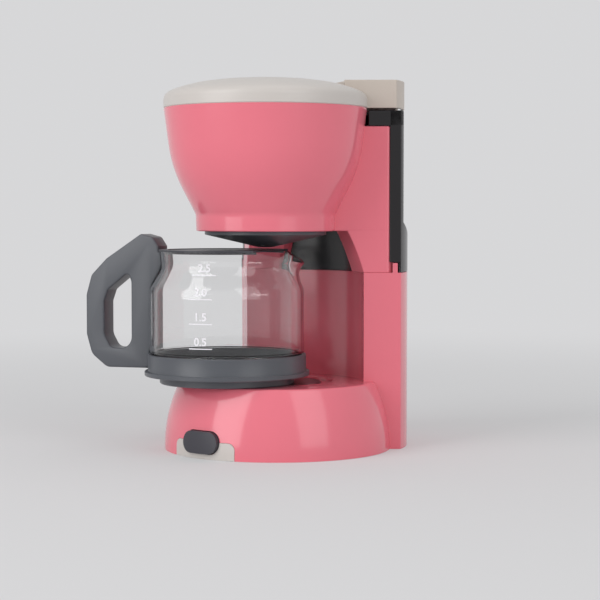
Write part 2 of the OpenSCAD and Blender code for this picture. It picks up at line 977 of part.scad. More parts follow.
// ring under the dome that drops between the basket's tabs, so the lid can't slide off
module lid_ring() {
    translate([0, head_y, 0]) difference() {
        disc(lid_ring_r, lid_ring_z, lid_edge_z + 6);
        disc(lid_ring_r - lid_ring_t, lid_ring_z - 1, lid_edge_z + 7);
        // spaces between the webs that hang the ring from the dome
        for (a = [0 : 30 : 150])
            rotate(a + 15) block(-70, 70, -lid_ring_gap / 2, lid_ring_gap / 2,
                head_top_z, lid_edge_z + 7);
        rotate_extrude() difference() {
            translate([0, head_top_z]) square([big, 40]);
            dome_profile(lid_t - eps);
        }
    }
}

// ---------- jug ----------

module at_jug() {
    translate([-jug_out * sin(jug_out_turn), head_y - jug_out * cos(jug_out_turn), 0])
        rotate(jug_turn) children();
}

// half section of the clear jug, pulled in by an inset
module jug_profile(inset) {
    seat_r = jug_seat_r - 0.1 - inset;
    step_z = jug_z3 + 0.5 + inset;
    shoulder = [jug_r, jug_shoulder_z];
    neck_low = [jug_neck_r + 0.9, jug_neck_z - 3.8];
    neck = [jug_neck_r, jug_neck_z];
    rim = [jug_mouth_r, jug_rim_z];
    n_slope = side_normal(shoulder, neck_low);
    n_neck = side_normal(neck_low, neck);
    n_mouth = side_normal(neck, rim);
    top = rim - inset * n_mouth + (rim - neck);
    rounded([[0, jug_floor_z + inset], [seat_r, jug_floor_z + inset], [seat_r, step_z],
        [jug_r - inset, step_z], miter(shoulder, [1, 0], n_slope, inset),
        miter(neck_low, n_slope, n_neck, inset), miter(neck, n_neck, n_mouth, inset),
        top, [0, top[1]]], [0, 2 - inset / 2, 0, 0, 8 - inset, 0, 0, 0, 0]);
}

// leaning round spout, which opens out of the neck
module jug_spout(inset) {
    low = 26;
    translate([spout_tip_r, 0, spout_tip_z]) rotate([0, spout_lean, 0])
        translate([-spout_r, 0, -low]) cylinder(h = low + 20, r = spout_r - inset);
}

// side view of the jug: the rim falls from a chord of the mouth to the tip of the spout
module jug_side_view() {
    fall = (jug_rim_z - spout_tip_z) / (spout_tip_r - spout_chord_x);
    end = 60;
    polygon([[-end, jug_z0], [end, jug_z0], [end, jug_rim_z - fall * (end - spout_chord_x)],
        [spout_chord_x, jug_rim_z], [-end, jug_rim_z]]);
}

module jug_body() color([0.85, 0.9, 0.92, 0.35]) at_jug() {
    difference() {
        intersection() {
            union() {
                rotate_extrude() jug_profile(0);
                jug_spout(0);
            }
            through(-60, 60) jug_side_view();
        }
        rotate_extrude() jug_profile(clear_wall);
        jug_spout(clear_wall);
    }
}

module jug_base() color([0.33, 0.35, 0.37]) at_jug() {
    difference() {
        union() {
            disc(jug_foot_r, jug_z0, jug_z1 + eps);
            disc(jug_flange_r, jug_z1, jug_z2);
            disc(jug_ring_r, jug_z2 - eps, jug_z3);
        }
        disc(jug_seat_r, jug_floor_z, jug_z3 + 1);
        disc(jug_foot_r - 3, jug_z0 - 1, jug_floor_z - 2);
    }
}

module handle_outline() {
    rounded([[30, jug_z2 + 0.2], [76, jug_z2 + 0.2], [86, 56], [89.5, 68], [89.5, 92],
        [86, 104], [76, 114], [53, 129], [45, 127], [39, 121.2], [39, 110], [30, 104]],
        [0, 6, 8, 10, 10, 6, 0, 1.5, 3, 0, 0, 0]);
}

module finger_hole() {
    rounded([[59.5, 60], [73, 60], [77.5, 68], [77.5, 88], [75, 95], [61.4, 105.7], [59.5, 100]],
        [7, 5, 8, 5, 3, 2, 2]);
}

module handle_solid() {
    difference() {
        rotate([90, 0, 0]) translate([0, 0, -handle_w / 2]) linear_extrude(height = handle_w)
            difference() {
                mirror([1, 0]) handle_outline();
                mirror([1, 0]) finger_hole();
            }
        rotate_extrude() jug_keepout();
        disc(jug_ring_r + 0.05, 0, jug_z3 + 0.3);
    }
}

module jug_keepout() {
    g = handle_clear;
    polygon([[0, jug_z3], [jug_r + g, jug_z3], [jug_r + g, jug_shoulder_z + 1.2],
        [jug_neck_r + g + 1.6, jug_neck_z - 2], [jug_mouth_r + g + 0.3, jug_rim_z - 0.4],
        [jug_mouth_r + g + 1.6, jug_rim_z - 0.4], [jug_mouth_r + g + 1.6, 140], [0, 140]]);
}

handle_screws_at = [[52, 123], [53, 53], [66, 53]];

module screw_well() {
    for (at = handle_screws_at)
        translate([-at[0], handle_w / 2, at[1]]) rotate([90, 0, 0]) {
            disc(screw_head_r + 0.3, -1, 2.4);
            disc(1.45, 0, handle_w / 2 + 1);
        }
}

module jug_handle_left() color([0.33, 0.35, 0.38]) at_jug() {
    difference() {
        intersection() {
            handle_solid();
            block(-big, 0, 0, 20, 0, big);
        }
        screw_well();
        handle_core(1);
    }
}

module jug_handle_right() color([0.33, 0.35, 0.38]) at_jug() {
    difference() {
        intersection() {
            handle_solid();
            block(-big, 0, -20, 0, 0, big);
        }
        for (at = handle_screws_at)
            translate([-at[0], 0, at[1]]) rotate([90, 0, 0]) disc(pilot_r, -1, 5);
        handle_core(-1);
    }
}

// hollow inside the grip half, away from the screws
module handle_core(side) {
    depth = handle_w / 2 - 2;
    translate([0, side > 0 ? depth : 0, 0]) rotate([90, 0, 0])
        linear_extrude(height = depth) mirror([1, 0])
            rounded([[79.7, 68], [87.3, 70], [87.3, 90], [79.7, 88]], [2, 2, 2, 2]);
}

module handle_screws() color([0.7, 0.7, 0.72]) at_jug() {
    for (at = handle_screws_at)
        translate([-at[0], handle_w / 2 - 0.8, at[1]]) rotate([90, 0, 0]) screw(9);
}

module jug_lid() color([0.2, 0.21, 0.23]) at_jug() {
    r = jug_mouth_r + 1.1;
    z0 = jug_rim_z + 0.05;
    skirt_r = jug_mouth_r - clear_wall - 1.4;
    difference() {
        union() {
            disc(r, z0, jug_rim_z + jug_lid_t);
            difference() {
                disc(skirt_r, z0 - jug_lid_skirt, z0 + eps);
                disc(skirt_r - 1.6, z0 - jug_lid_skirt - 1, z0);
            }
        }
        disc(r - 5, jug_rim_z + jug_lid_t - jug_lid_dish, jug_rim_z + jug_lid_t + 1);
        // straight edge that leaves the spout open
        block(spout_chord_x - 0.6, big, -big, big, z0 - 6, z0 + 5);
        // drip holes
        disc(3, z0 - 6, z0 + 5);
        for (a = [0 : 60 : 300]) rotate(a) translate([9, 0, 0]) disc(1.6, z0 - 6, z0 + 5);
    }
}

// ---------- nodes ----------

lower_housing();
bottom_plate();
battery_cover();
battery_cover_screw();
batteries();
battery_contacts();
bottom_screws();
circuit_board();
push_switch();
speaker();
switch_plate();
power_button();
button_spring();
warming_plate();
upper_housing();
head_back();
head_screws();
tank_frame();
water_tank();
filter_basket();
top_lid();
lid_block();
jug_body();
jug_base();
jug_handle_left();
jug_handle_right();
handle_screws();
jug_lid();
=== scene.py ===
import bisect
import json
import math

import bmesh
import bpy
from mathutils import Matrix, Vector


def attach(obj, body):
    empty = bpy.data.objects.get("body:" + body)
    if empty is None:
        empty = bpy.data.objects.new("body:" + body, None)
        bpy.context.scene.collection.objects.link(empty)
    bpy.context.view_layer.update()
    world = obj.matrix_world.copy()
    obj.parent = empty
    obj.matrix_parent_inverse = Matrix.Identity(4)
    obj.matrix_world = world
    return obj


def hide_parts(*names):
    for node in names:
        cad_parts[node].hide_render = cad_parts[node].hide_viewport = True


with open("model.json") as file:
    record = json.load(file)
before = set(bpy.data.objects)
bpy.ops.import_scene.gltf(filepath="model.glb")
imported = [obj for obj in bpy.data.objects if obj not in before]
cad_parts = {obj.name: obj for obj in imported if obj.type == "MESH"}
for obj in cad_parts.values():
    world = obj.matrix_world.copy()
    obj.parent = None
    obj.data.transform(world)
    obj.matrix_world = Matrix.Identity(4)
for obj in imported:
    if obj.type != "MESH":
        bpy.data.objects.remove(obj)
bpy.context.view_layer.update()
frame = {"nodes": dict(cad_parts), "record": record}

MM = 0.001

# ---------- sizes, in millimetres ----------

WALL = 2.2

# Base: its side is an arc of radius BASE_ARC_R, between two angles in degrees.
BASE_ARC_X = -18.0
BASE_ARC_Z = 2.0
BASE_ARC_R = 86.2
TABLE_ANGLE = -1.33
RIM_ANGLE = 25.85
RIM_R = 1.8
BASE_H = 40.6
WARM_R = 33.2
WARM_SEAT_Z = 39.2

# Push button and the plate round it.
BUTTON_W = 26.0
BUTTON_H = 12.8
BUTTON_Z = 9.6
BUTTON_GAP = 0.8
PLATE_W = 22.7
PLATE_GAP = 0.15

# Rear outline: two flared sides, given by a normal, a direction and a distance, a round
# back about BACK_Y and a hollow front about HEAD_Y.
HEAD_Y = -11.0
BACK_Y = 19.9
BACK_R = 66.3
NICHE_R = 58.7
SIDE_N = (math.sin(math.radians(40)), -math.cos(math.radians(40)))
SIDE_U = (math.cos(math.radians(40)), math.sin(math.radians(40)))
SIDE_C = 10.68
TOWER_Z = 105.8

# Brewing head with its wings.
HEAD_Z = 130.7
HEAD_TOP = 203.5
WING_X = 57.6
WING_Y = 39.5
WING_Z = 193.0

# Black frame.
FRAME_Y = 41.8
FRAME_LOW = 106.0
FRAME_TOP = 202.4
BAR_X = 58.1
BAR_BACK_Y = 43.8
BRIDGE_LOW = 193.2
BRIDGE_FRONT_R = 61.3
BRIDGE_BACK_R = 65.6

# Tank.
TANK_LOW = 108.2
TANK_FRONT_Y = 44.4
TANK_FRONT_R = 66.0
TANK_BACK_R = 63.94
TANK_WALL = 1.8

# Lid: the ring under the dome and the raised block.
LID_RING_R = 45.0
LID_RING_LOW = 193.5
LID_RING_WALL = 1.6
LID_OVER = 1.2
LID_FRONT_R = 47.0
LID_BACK_R = 64.1
LID_WALL = 2.0
BLOCK_LOW = 203.7
BLOCK_TOP = 220.4

# Jug, in its own place with the spout along +X, and where it stands.
JUG_FLOOR = 50.05
JUG_SPLIT = 92
JUG_RIM = 118.6
SPOUT_LOW = 94
SPOUT_SPREAD = 27
SPOUT_REACH = 9.6
SPOUT_CHORD = 28.6
SPOUT_FALL = 0.32
JUG_LID_R = 40.4
JUG_LID_CHORD = 28.0
SKIRT_R = 36.2
SKIRT_CHORD = 27.6
GRIP_HALF = 7.0
GRIP_BEVEL = 1.1
GRIP_JOINT = 0.12
SCALE_ANGLE = math.radians(-87.5)
JUG_X = -12.484
JUG_Y = -31.614
JUG_TURN = math.radians(20.4)

# Colour of the ground that the object is seen against.
BACKDROP = (0.68, 0.68, 0.69, 1.0)


# ---------- outlines ----------

def arc(cx, cy, r, a0, a1, n):
    """Points along an arc, in degrees, both ends included."""
    out = []
    for i in range(n + 1):
        a = math.radians(a0 + (a1 - a0) * i / n)
        out.append((cx + r * math.cos(a), cy + r * math.sin(a)))
    return out


def rounded(points, radii, steps, closed=True):
    """The same line with an arc at each corner that has a radius."""
    out = []
    count = len(points)
    for i, p in enumerate(points):
        r = radii[i]
        if r <= 0 or (not closed and i in (0, count - 1)):
            out.append(tuple(p))
            continue
        here = Vector(p)
        a = (Vector(points[i - 1]) - here).normalized()
        b = (Vector(points[(i + 1) % count]) - here).normalized()
        half = math.acos(max(-1, min(1, a.dot(b)))) / 2
        t = r / math.tan(half)
        centre = here + (a + b).normalized() * (r / math.sin(half))
        start = here + a * t - centre
        end = here + b * t - centre
        a0 = math.atan2(start.y, start.x)
        sweep = math.atan2(end.y, end.x) - a0
        sweep = (sweep + math.pi) % (2 * math.pi) - math.pi
        for k in range(steps + 1):
            a1 = a0 + sweep * k / steps
            out.append((centre.x + r * math.cos(a1), centre.y + r * math.sin(a1)))
    return out


def side_hit(c, cy, r):
    """Where the flared side at distance c leaves the circle about (0, cy)."""
    px, py = SIDE_N[0] * c, SIDE_N[1] * c - cy
    along = px * SIDE_U[0] + py * SIDE_U[1]
    t = -along + math.sqrt(along * along - (px * px + py * py - r * r))
    return (SIDE_N[0] * c + t * SIDE_U[0], SIDE_N[1] * c + t * SIDE_U[1])


def side_y(x):
    """Where the flared side is at x."""
    return (SIDE_N[0] * x - SIDE_C) / -SIDE_N[1]


def angle_about(point, cy):
    """Angle of a point in degrees, seen from (0, cy)."""
    return math.degrees(math.atan2(point[1] - cy, point[0]))


def rear_outline(side_c, front_r, back_r):
    """Plan of the rear part: flared sides, a round back and a hollow front."""
    front = side_hit(side_c, HEAD_Y, front_r)
    crease = side_hit(side_c, BACK_Y, back_r)
    a_back = angle_about(crease, BACK_Y)
    a_front = angle_about(front, HEAD_Y)
    out = [front]
    out += arc(0, BACK_Y, back_r, a_back, 180 - a_back, 64)
    out += arc(0, HEAD_Y, front_r, 180 - a_front, a_front, 40)[:-1]
    return out


def base_radius(z, inset=0.0):
    """Radius of the swelling side of the base at a height."""
    r = BASE_ARC_R - inset
    return BASE_ARC_X + math.sqrt(r * r - (z - BASE_ARC_Z) ** 2)


# ---------- meshes ----------

def point_mesh(points, faces=()):
    """A mesh from millimetre points, as they are."""
    mesh = bpy.data.meshes.new("points")
    mesh.from_pydata([(x * MM, y * MM, z * MM) for x, y, z in points], [], faces)
    return mesh


def raw_mesh(points, faces, merge=0.002):
    """A mesh from millimetre points, welded, with its faces outwards."""
    mesh = point_mesh(points, faces)
    bm = bmesh.new()
    bm.from_mesh(mesh)
    bmesh.ops.remove_doubles(bm, verts=bm.verts, dist=merge * MM)
    bmesh.ops.dissolve_degenerate(bm, edges=bm.edges, dist=1e-7)
    bmesh.ops.recalc_face_normals(bm, faces=bm.faces)
    bm.to_mesh(mesh)
    bm.free()
    return mesh


def prism(outline, z0, z1):
    """An upright prism. z1 is a height, or a rule that gives it from x and y."""
    return loft([[(x, y, z0) for x, y in outline],
                 [(x, y, z1(x, y) if callable(z1) else z1) for x, y in outline]])


def cup(outer, inner, z0, z1, floor, open_low=False):
    """Walls between two outlines of equal count, with a floor or, upside down, a roof."""
    def mouth(x, y):
        return z0 if open_low else z1(x, y) if callable(z1) else z1
    closed_end = z1 if open_low else z0
    return loft([[(x, y, closed_end) for x, y in outer],
                 [(x, y, mouth(x, y)) for x, y in outer],
                 [(x, y, mouth(x, y)) for x, y in inner],
                 [(x, y, floor) for x, y in inner]])


def loft(rows):
    """A closed skin through rings of equal count."""
    n = len(rows[0])
    points = [p for row in rows for p in row]
    faces = []
    for k in range(len(rows) - 1):
        for i in range(n):
            j = (i + 1) % n
            faces.append((k * n + i, k * n + j, (k + 1) * n + j, (k + 1) * n + i))
    faces += [tuple(reversed(range(n))), tuple(range((len(rows) - 1) * n, len(rows) * n))]
    return raw_mesh(points, faces)


def bar_mesh(x0, x1, y0, y1, z0, z1):
    return prism([(x0, y0), (x1, y0), (x1, y1), (x0, y1)], z0, z1)


def evaluated(obj):
    """The object's modifiers made into a plain mesh. The object goes."""
    bpy.context.view_layer.update()
    graph = bpy.context.evaluated_depsgraph_get()
    mesh = bpy.data.meshes.new_from_object(obj.evaluated_get(graph))
    bpy.data.objects.remove(obj)
    return mesh


def temporary(mesh):
    obj = bpy.data.objects.new("temporary", mesh)
    bpy.context.scene.collection.objects.link(obj)
    return obj


def combined(mesh, others, operation):
    """The mesh with others cut out of it or joined to it."""
    for other in others:
        obj = temporary(mesh)
        tool = temporary(other)
        step = obj.modifiers.new("step", "BOOLEAN")
        step.operation = operation
        step.solver = "EXACT"
        step.object = tool
        mesh = evaluated(obj)
        bpy.data.objects.remove(tool)
    return mesh


def softened(mesh, width, steps=3, angle=32):
    """Rounds the edges that are sharper than the angle."""
    for polygon in mesh.polygons:
        polygon.use_smooth = True
    obj = temporary(mesh)
    step = obj.modifiers.new("edges", "BEVEL")
    step.width = width * MM
    step.segments = steps
    step.limit_method = "ANGLE"
    step.angle_limit = math.radians(angle)
    step.harden_normals = True
    step.use_clamp_overlap = True
    return evaluated(obj)


def smooth(mesh, angle=32):
    """Smooth shading, with the edges sharper than the angle kept."""
    mesh.shade_smooth()
    mesh.set_sharp_from_angle(angle=math.radians(angle))
    return mesh


def evened(mesh):
    """Lets the large faces lead the shading, so that flat walls look flat."""
    obj = temporary(mesh)
    step = obj.modifiers.new("normals", "WEIGHTED_NORMAL")
    step.weight = 100
    step.keep_sharp = True
    return evaluated(obj)


def at_jug(mesh):
    """From the jug's own place, spout along +X, to where the jug stands."""
    c, s = math.cos(JUG_TURN), math.sin(JUG_TURN)
    for v in mesh.vertices:
        x, y = v.co.x, v.co.y
        v.co.x = x * c - y * s + JUG_X * MM
        v.co.y = x * s + y * c + JUG_Y * MM
    return mesh


def joined(meshes):
    """Several meshes as one, each left as it is."""
    bm = bmesh.new()
    for mesh in meshes:
        bm.from_mesh(mesh)
    out = bpy.data.meshes.new("joined")
    bm.to_mesh(out)
    bm.free()
    return out


def piece(name, mesh, material, body, stands_for):
    """Puts a finished mesh on its body, in place of the solids it stands for."""
    mesh.materials.clear()
    mesh.materials.append(material)
    for polygon in mesh.polygons:
        polygon.material_index = 0
    obj = bpy.data.objects.new(name, mesh)
    mesh.name = name
    bpy.context.scene.collection.objects.link(obj)
    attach(obj, body)
    if stands_for:
        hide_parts(*stands_for)


# ---------- node trees ----------

def connect(tree, node, links):
    """Gives a node's inputs their values and links."""
    for socket, source in links:
        if isinstance(source, (int, float, tuple)):
            node.inputs[socket].default_value = source
        else:
            tree.links.new(source, node.inputs[socket])


def add_node(tree, kind, links=(), **settings):
    made = tree.nodes.new(kind)
    for key, value in settings.items():
        setattr(made, key, value)
    connect(tree, made, links)
    return made


class Tree:
    """A geometry node tree with named inputs, which ends in real meshes with a material."""

    def __init__(self, name, inputs):
        self.group = bpy.data.node_groups.new(name, "GeometryNodeTree")
        face = self.group.interface
        face.new_socket("Geometry", in_out="INPUT", socket_type="NodeSocketGeometry")
        for label, kind, value in inputs:
            made = face.new_socket(label, in_out="INPUT", socket_type=kind)
            if value is not None:
                made.default_value = value
        face.new_socket("Geometry", in_out="OUTPUT", socket_type="NodeSocketGeometry")
        self.start = self.group.nodes.new("NodeGroupInput")

    def node(self, kind, links=(), **settings):
        return add_node(self.group, kind, links, **settings)

    def given(self, label):
        return self.start.outputs[label]

    def maths(self, operation, a, b=0.0):
        return self.node("ShaderNodeMath", [(0, a), (1, b)], operation=operation).outputs[0]

    def end(self, geometry):
        real = self.node("GeometryNodeRealizeInstances", [(0, geometry)])
        painted = self.node("GeometryNodeSetMaterial",
                            [("Geometry", real.outputs[0]), ("Material", self.given("Material"))])
        out = self.group.nodes.new("NodeGroupOutput")
        self.group.links.new(painted.outputs[0], out.inputs[0])

    def run(self, mesh, **values):
        """The tree's result on a mesh, as a plain mesh."""
        obj = temporary(mesh)
        step = obj.modifiers.new("tree", "NODES")
        step.node_group = self.group
        names = {item.name.replace(" ", "_"): item.identifier
                 for item in self.group.interface.items_tree if item.item_type == "SOCKET"
                 and item.in_out == "INPUT"}
        for key, value in values.items():
            step[names[key]] = value
        return evaluated(obj)


def turning_tree():
    """Turns a profile, given as points (radius, 0, height), about the Z axis."""
    tree = Tree("turned_moulding", [("Segments", "NodeSocketInt", 96),
                                    ("Profile Points", "NodeSocketInt", 2),
                                    ("Axis Y", "NodeSocketFloat", 0.0),
                                    ("Material", "NodeSocketMaterial", None)])
    columns = tree.maths("ADD", tree.given("Segments"), 1.0)
    grid = tree.node("GeometryNodeMeshGrid",
                     [("Vertices X", columns), ("Vertices Y", tree.given("Profile Points"))])
    index = tree.node("GeometryNodeInputIndex").outputs[0]
    count = tree.given("Profile Points")
    row = tree.maths("FLOORED_MODULO", index, count)
    column = tree.maths("FLOOR", tree.maths("DIVIDE", tree.maths("ADD", index, 0.5), count))
    place = tree.node("GeometryNodeInputPosition").outputs[0]
    sample = tree.node("GeometryNodeSampleIndex", data_type="FLOAT_VECTOR", links=[
        ("Geometry", tree.given("Geometry")), ("Value", place), ("Index", row)])
    parts = tree.node("ShaderNodeSeparateXYZ", [(0, sample.outputs[0])])
    turn = tree.maths("MULTIPLY", tree.maths("DIVIDE", column, tree.given("Segments")),
                      2 * math.pi)
    x = tree.maths("MULTIPLY", parts.outputs[0], tree.maths("COSINE", turn))
    y = tree.maths("MULTIPLY", parts.outputs[0], tree.maths("SINE", turn))
    y = tree.maths("ADD", y, tree.given("Axis Y"))
    new_place = tree.node("ShaderNodeCombineXYZ", [(0, x), (1, y), (2, parts.outputs[2])])
    shaped = tree.node("GeometryNodeSetPosition",
                       [("Geometry", grid.outputs[0]), ("Position", new_place.outputs[0])])
    welded = tree.node("GeometryNodeMergeByDistance",
                       [("Geometry", shaped.outputs[0]), ("Distance", 1e-6)])
    tree.end(welded.outputs[0])
    return tree


def screw_tree():
    """A cross-head screw on every given point, turned to face one way."""
    tree = Tree("screw_heads", [("Head Radius", "NodeSocketFloat", 0.0028),
                                ("Head Height", "NodeSocketFloat", 0.0012),
                                ("Shank Radius", "NodeSocketFloat", 0.00125),
                                ("Shank Length", "NodeSocketFloat", 0.008),
                                ("Slot Width", "NodeSocketFloat", 0.0008),
                                ("Turn", "NodeSocketRotation", None),
                                ("Material", "NodeSocketMaterial", None)])
    head = tree.node("GeometryNodeMeshCylinder",
                     [("Vertices", 28), ("Radius", tree.given("Head Radius")),
                      ("Depth", tree.given("Head Height"))])
    crown = tree.node("GeometryNodeMeshUVSphere",
                      [("Segments", 28), ("Rings", 12), ("Radius", tree.given("Head Radius"))])
    flat = tree.node("GeometryNodeTransform", [("Geometry", crown.outputs[0]),
                                               ("Scale", (0.99, 0.99, 0.16))])
    lift = tree.node("ShaderNodeCombineXYZ",
                     [(2, tree.maths("MULTIPLY", tree.given("Head Height"), 0.42))])
    flat = tree.node("GeometryNodeTransform", [("Geometry", flat.outputs[0]),
                                               ("Translation", lift.outputs[0])])
    shank = tree.node("GeometryNodeMeshCylinder",
                      [("Vertices", 16), ("Radius", tree.given("Shank Radius")),
                       ("Depth", tree.given("Shank Length"))])
    drop = tree.maths("MULTIPLY", tree.given("Shank Length"), -0.5)
    drop = tree.node("ShaderNodeCombineXYZ", [(2, drop)])
    shank = tree.node("GeometryNodeTransform", [("Geometry", shank.outputs[0]),
                                                ("Translation", drop.outputs[0])])
    body = tree.node("GeometryNodeMeshBoolean", operation="UNION", solver="EXACT")
    for part in (head, flat, shank):
        tree.group.links.new(part.outputs[0], body.inputs["Mesh 2"])
    wide = tree.maths("MULTIPLY", tree.given("Head Radius"), 1.25)
    deep = tree.maths("MULTIPLY", tree.given("Head Height"), 0.9)
    slot_a = tree.node("ShaderNodeCombineXYZ",
                       [(0, wide), (1, tree.given("Slot Width")), (2, deep)])
    slot_b = tree.node("ShaderNodeCombineXYZ",
                       [(0, tree.given("Slot Width")), (1, wide), (2, deep)])
    up = tree.node("ShaderNodeCombineXYZ",
                   [(2, tree.maths("MULTIPLY", tree.given("Head Height"), 0.7))])
    cut = tree.node("GeometryNodeMeshBoolean", operation="DIFFERENCE", solver="EXACT")
    tree.group.links.new(body.outputs[0], cut.inputs["Mesh 1"])
    for size in (slot_a, slot_b):
        box = tree.node("GeometryNodeMeshCube", [("Size", size.outputs[0])])
        box = tree.node("GeometryNodeTransform", [("Geometry", box.outputs[0]),
                                                  ("Translation", up.outputs[0])])
        tree.group.links.new(box.outputs[0], cut.inputs["Mesh 2"])
    placed = tree.node("GeometryNodeInstanceOnPoints",
                       [("Points", tree.given("Geometry")), ("Instance", cut.outputs[0]),
                        ("Rotation", tree.given("Turn"))])
    tree.end(placed.outputs[0])
    return tree


def turned(tree, profile, material, axis_y, segments):
    """A revolved mesh from (radius, height) points in millimetres."""
    line = list(profile) + [profile[0]]
    mesh = point_mesh([(max(r, 0.0), 0.0, z) for r, z in line])
    out = tree.run(mesh, Segments=segments, Profile_Points=len(line),
                   Axis_Y=axis_y * MM, Material=material)
    bm = bmesh.new()
    bm.from_mesh(out)
    bmesh.ops.remove_doubles(bm, verts=bm.verts, dist=2e-6)
    bmesh.ops.dissolve_degenerate(bm, edges=bm.edges, dist=1e-7)
    bmesh.ops.delete(bm, geom=[e for e in bm.edges if not e.link_faces], context="EDGES")
    bmesh.ops.recalc_face_normals(bm, faces=bm.faces)
    bm.to_mesh(out)
    bm.free()
    return out


# ---------- materials ----------

def linear(r, g, b):
    """A colour given in 0 to 255 screen values."""
    out = []
    for v in (r, g, b):
        v = v / 255
        out.append(v / 12.92 if v <= 0.04045 else ((v + 0.055) / 1.055) ** 2.4)
    return (out[0], out[1], out[2], 1.0)


def shaded(color, factor):
    return tuple(min(1.0, c * factor) for c in color[:3]) + (1.0,)


def new_material(name):
    mat = bpy.data.materials.new(name)
    mat.use_nodes = True
    return mat, mat.node_tree


def noise(tree, scale, detail):
    """Noise on the object's own coordinates."""
    where = add_node(tree, "ShaderNodeTexCoord")
    made = add_node(tree, "ShaderNodeTexNoise", [("Vector", where.outputs["Object"]),
                                                 ("Scale", scale), ("Detail", detail)])
    return made.outputs["Fac"]


def about(tree, value, share, factor):
    """A value that moves up and down by a share of itself."""
    made = add_node(tree, "ShaderNodeMapRange", [
        ("Value", factor), ("To Min", value * (1 - share)), ("To Max", value * (1 + share))])
    return made.outputs["Result"]


def moulded(name, color, rough, grain=0.02, scale=900.0, coat=0.0, spread=0.03, metallic=0.0):
    """Injection-moulded plastic: faint colour drift, fine grain and slight waviness."""
    mat, tree = new_material(name)
    tint = add_node(tree, "ShaderNodeMix", [
        ("A", shaded(color, 1 - spread)), ("B", shaded(color, 1 + spread)),
        ("Factor", noise(tree, 14.0, 2.0))], data_type="RGBA")
    fine = noise(tree, scale, 3.0)
    wavy = add_node(tree, "ShaderNodeBump", [("Strength", 0.01), ("Distance", 0.004),
                                             ("Height", noise(tree, 38.0, 1.0))])
    bump = add_node(tree, "ShaderNodeBump", [("Strength", grain), ("Distance", 0.0004),
                                             ("Height", fine), ("Normal", wavy.outputs[0])])
    connect(tree, tree.nodes["Principled BSDF"], [
        ("IOR", 1.5), ("Coat Weight", coat), ("Coat Roughness", 0.08), ("Metallic", metallic),
        ("Base Color", tint.outputs["Result"]), ("Roughness", about(tree, rough, 0.12, fine)),
        ("Normal", bump.outputs[0])])
    return mat


def clear_plastic(name, color, rough):
    """Clear or smoked styrene, with faint flow lines from the mould."""
    mat, tree = new_material(name)
    flow = noise(tree, 26.0, 1.0)
    bump = add_node(tree, "ShaderNodeBump", [("Strength", 0.02), ("Distance", 0.003),
                                             ("Height", flow)])
    connect(tree, tree.nodes["Principled BSDF"], [
        ("Base Color", color), ("Transmission Weight", 1.0), ("IOR", 1.46),
        ("Roughness", about(tree, rough, 0.3, flow)), ("Normal", bump.outputs[0])])
    return mat


def metal(name, color, rough):
    return moulded(name, color, rough, grain=0.05, scale=1400.0, spread=0.05, metallic=1.0)


def finishes():
    return {
        "pink_plastic": moulded("pink_gloss", linear(238, 120, 136), 0.16, coat=0.3),
        # The rear block is the same cream plastic as the dome, painted darker and warmer here as
        # painted shade for how light falls on it.
        "cream_plastic": moulded("cream_satin", linear(206, 200, 195), 0.36, grain=0.05),
        "cream_warm": moulded("cream_warm", linear(200, 189, 179), 0.36, grain=0.05),
        "grey_plastic": moulded("grey_satin", linear(84, 87, 93), 0.36, grain=0.06),
        "button_grey": moulded("button_satin", linear(58, 57, 65), 0.4, grain=0.08),
        "black_plastic": moulded("black_gloss", linear(18, 14, 18), 0.2),
        "smoked_clear": clear_plastic("smoked_styrene", linear(205, 200, 208), 0.12),
        "jug_clear": clear_plastic("clear_styrene", (0.97, 0.97, 0.97, 1.0), 0.015),
        "lid_dark": moulded("lid_satin", linear(62, 62, 68), 0.4, grain=0.06),
        "plate_dark": moulded("plate_satin", linear(66, 40, 48), 0.3, grain=0.04),
        "screw_steel": metal("screw_steel", linear(176, 176, 180), 0.28),
        "contact_steel": metal("nickel", linear(196, 194, 186), 0.22),
        "battery_sleeve": moulded("battery_sleeve", linear(52, 56, 66), 0.3),
        "board_green": moulded("board_lacquer", linear(28, 92, 58), 0.3, grain=0.1),
        "speaker_black": moulded("speaker_card", linear(44, 44, 46), 0.75, grain=0.25),
        "print_white": moulded("white_print", linear(244, 242, 247), 0.7),
    }


def dress_solids(mats):
    """Every solid that stays gets the finish of its slot."""
    slots = {row["node"]: row["material_slot"] for row in frame["record"]["subparts"]}
    for name, obj in frame["nodes"].items():
        obj.data.materials.clear()
        obj.data.materials.append(mats[slots[name]])


# ---------- base and tower ----------

def slab_on_base(half_w, low, high, deep, proud, columns=48, rows=10):
    """A panel that follows the curved front of the base, between two depths."""
    points, faces = [], []
    for depth in (deep, proud):
        for i in range(columns + 1):
            x = -half_w * math.cos(math.pi * i / columns)
            for k in range(rows + 1):
                z = low(x) + (high(x) - low(x)) * k / rows
                r = base_radius(z, depth)
                points.append((x, -math.sqrt(r * r - x * x), z))
    n, size = rows + 1, (columns + 1) * (rows + 1)
    for i in range(columns):
        for k in range(rows):
            a = i * n + k
            faces.append((a, a + 1, a + n + 1, a + n))
            faces.append((size + a, size + a + n, size + a + n + 1, size + a + 1))
        for k in (0, rows):
            a = i * n + k
            faces.append((a, a + n, size + a + n, size + a))
    for i in (0, columns):
        for k in range(rows):
            a = i * n + k
            faces.append((a, size + a, size + a + 1, a + 1))
    return raw_mesh(points, faces, merge=0.02)


def pill(w, h, z):
    """Lower and upper edge of a pill-shaped outline."""
    def half(x):
        over = max(0.0, abs(x) - (w - h) / 2)
        return math.sqrt(max(0.0, (h / 2) ** 2 - over * over))
    return (lambda x: z - half(x)), (lambda x: z + half(x))


def plate_edges(half_w, low_z, top, r):
    """Flat below, with rounded corners above."""
    def high(x):
        over = max(0.0, abs(x) - (half_w - r))
        return top - r + math.sqrt(max(0.0, r * r - over * over))
    return (lambda x: low_z), high


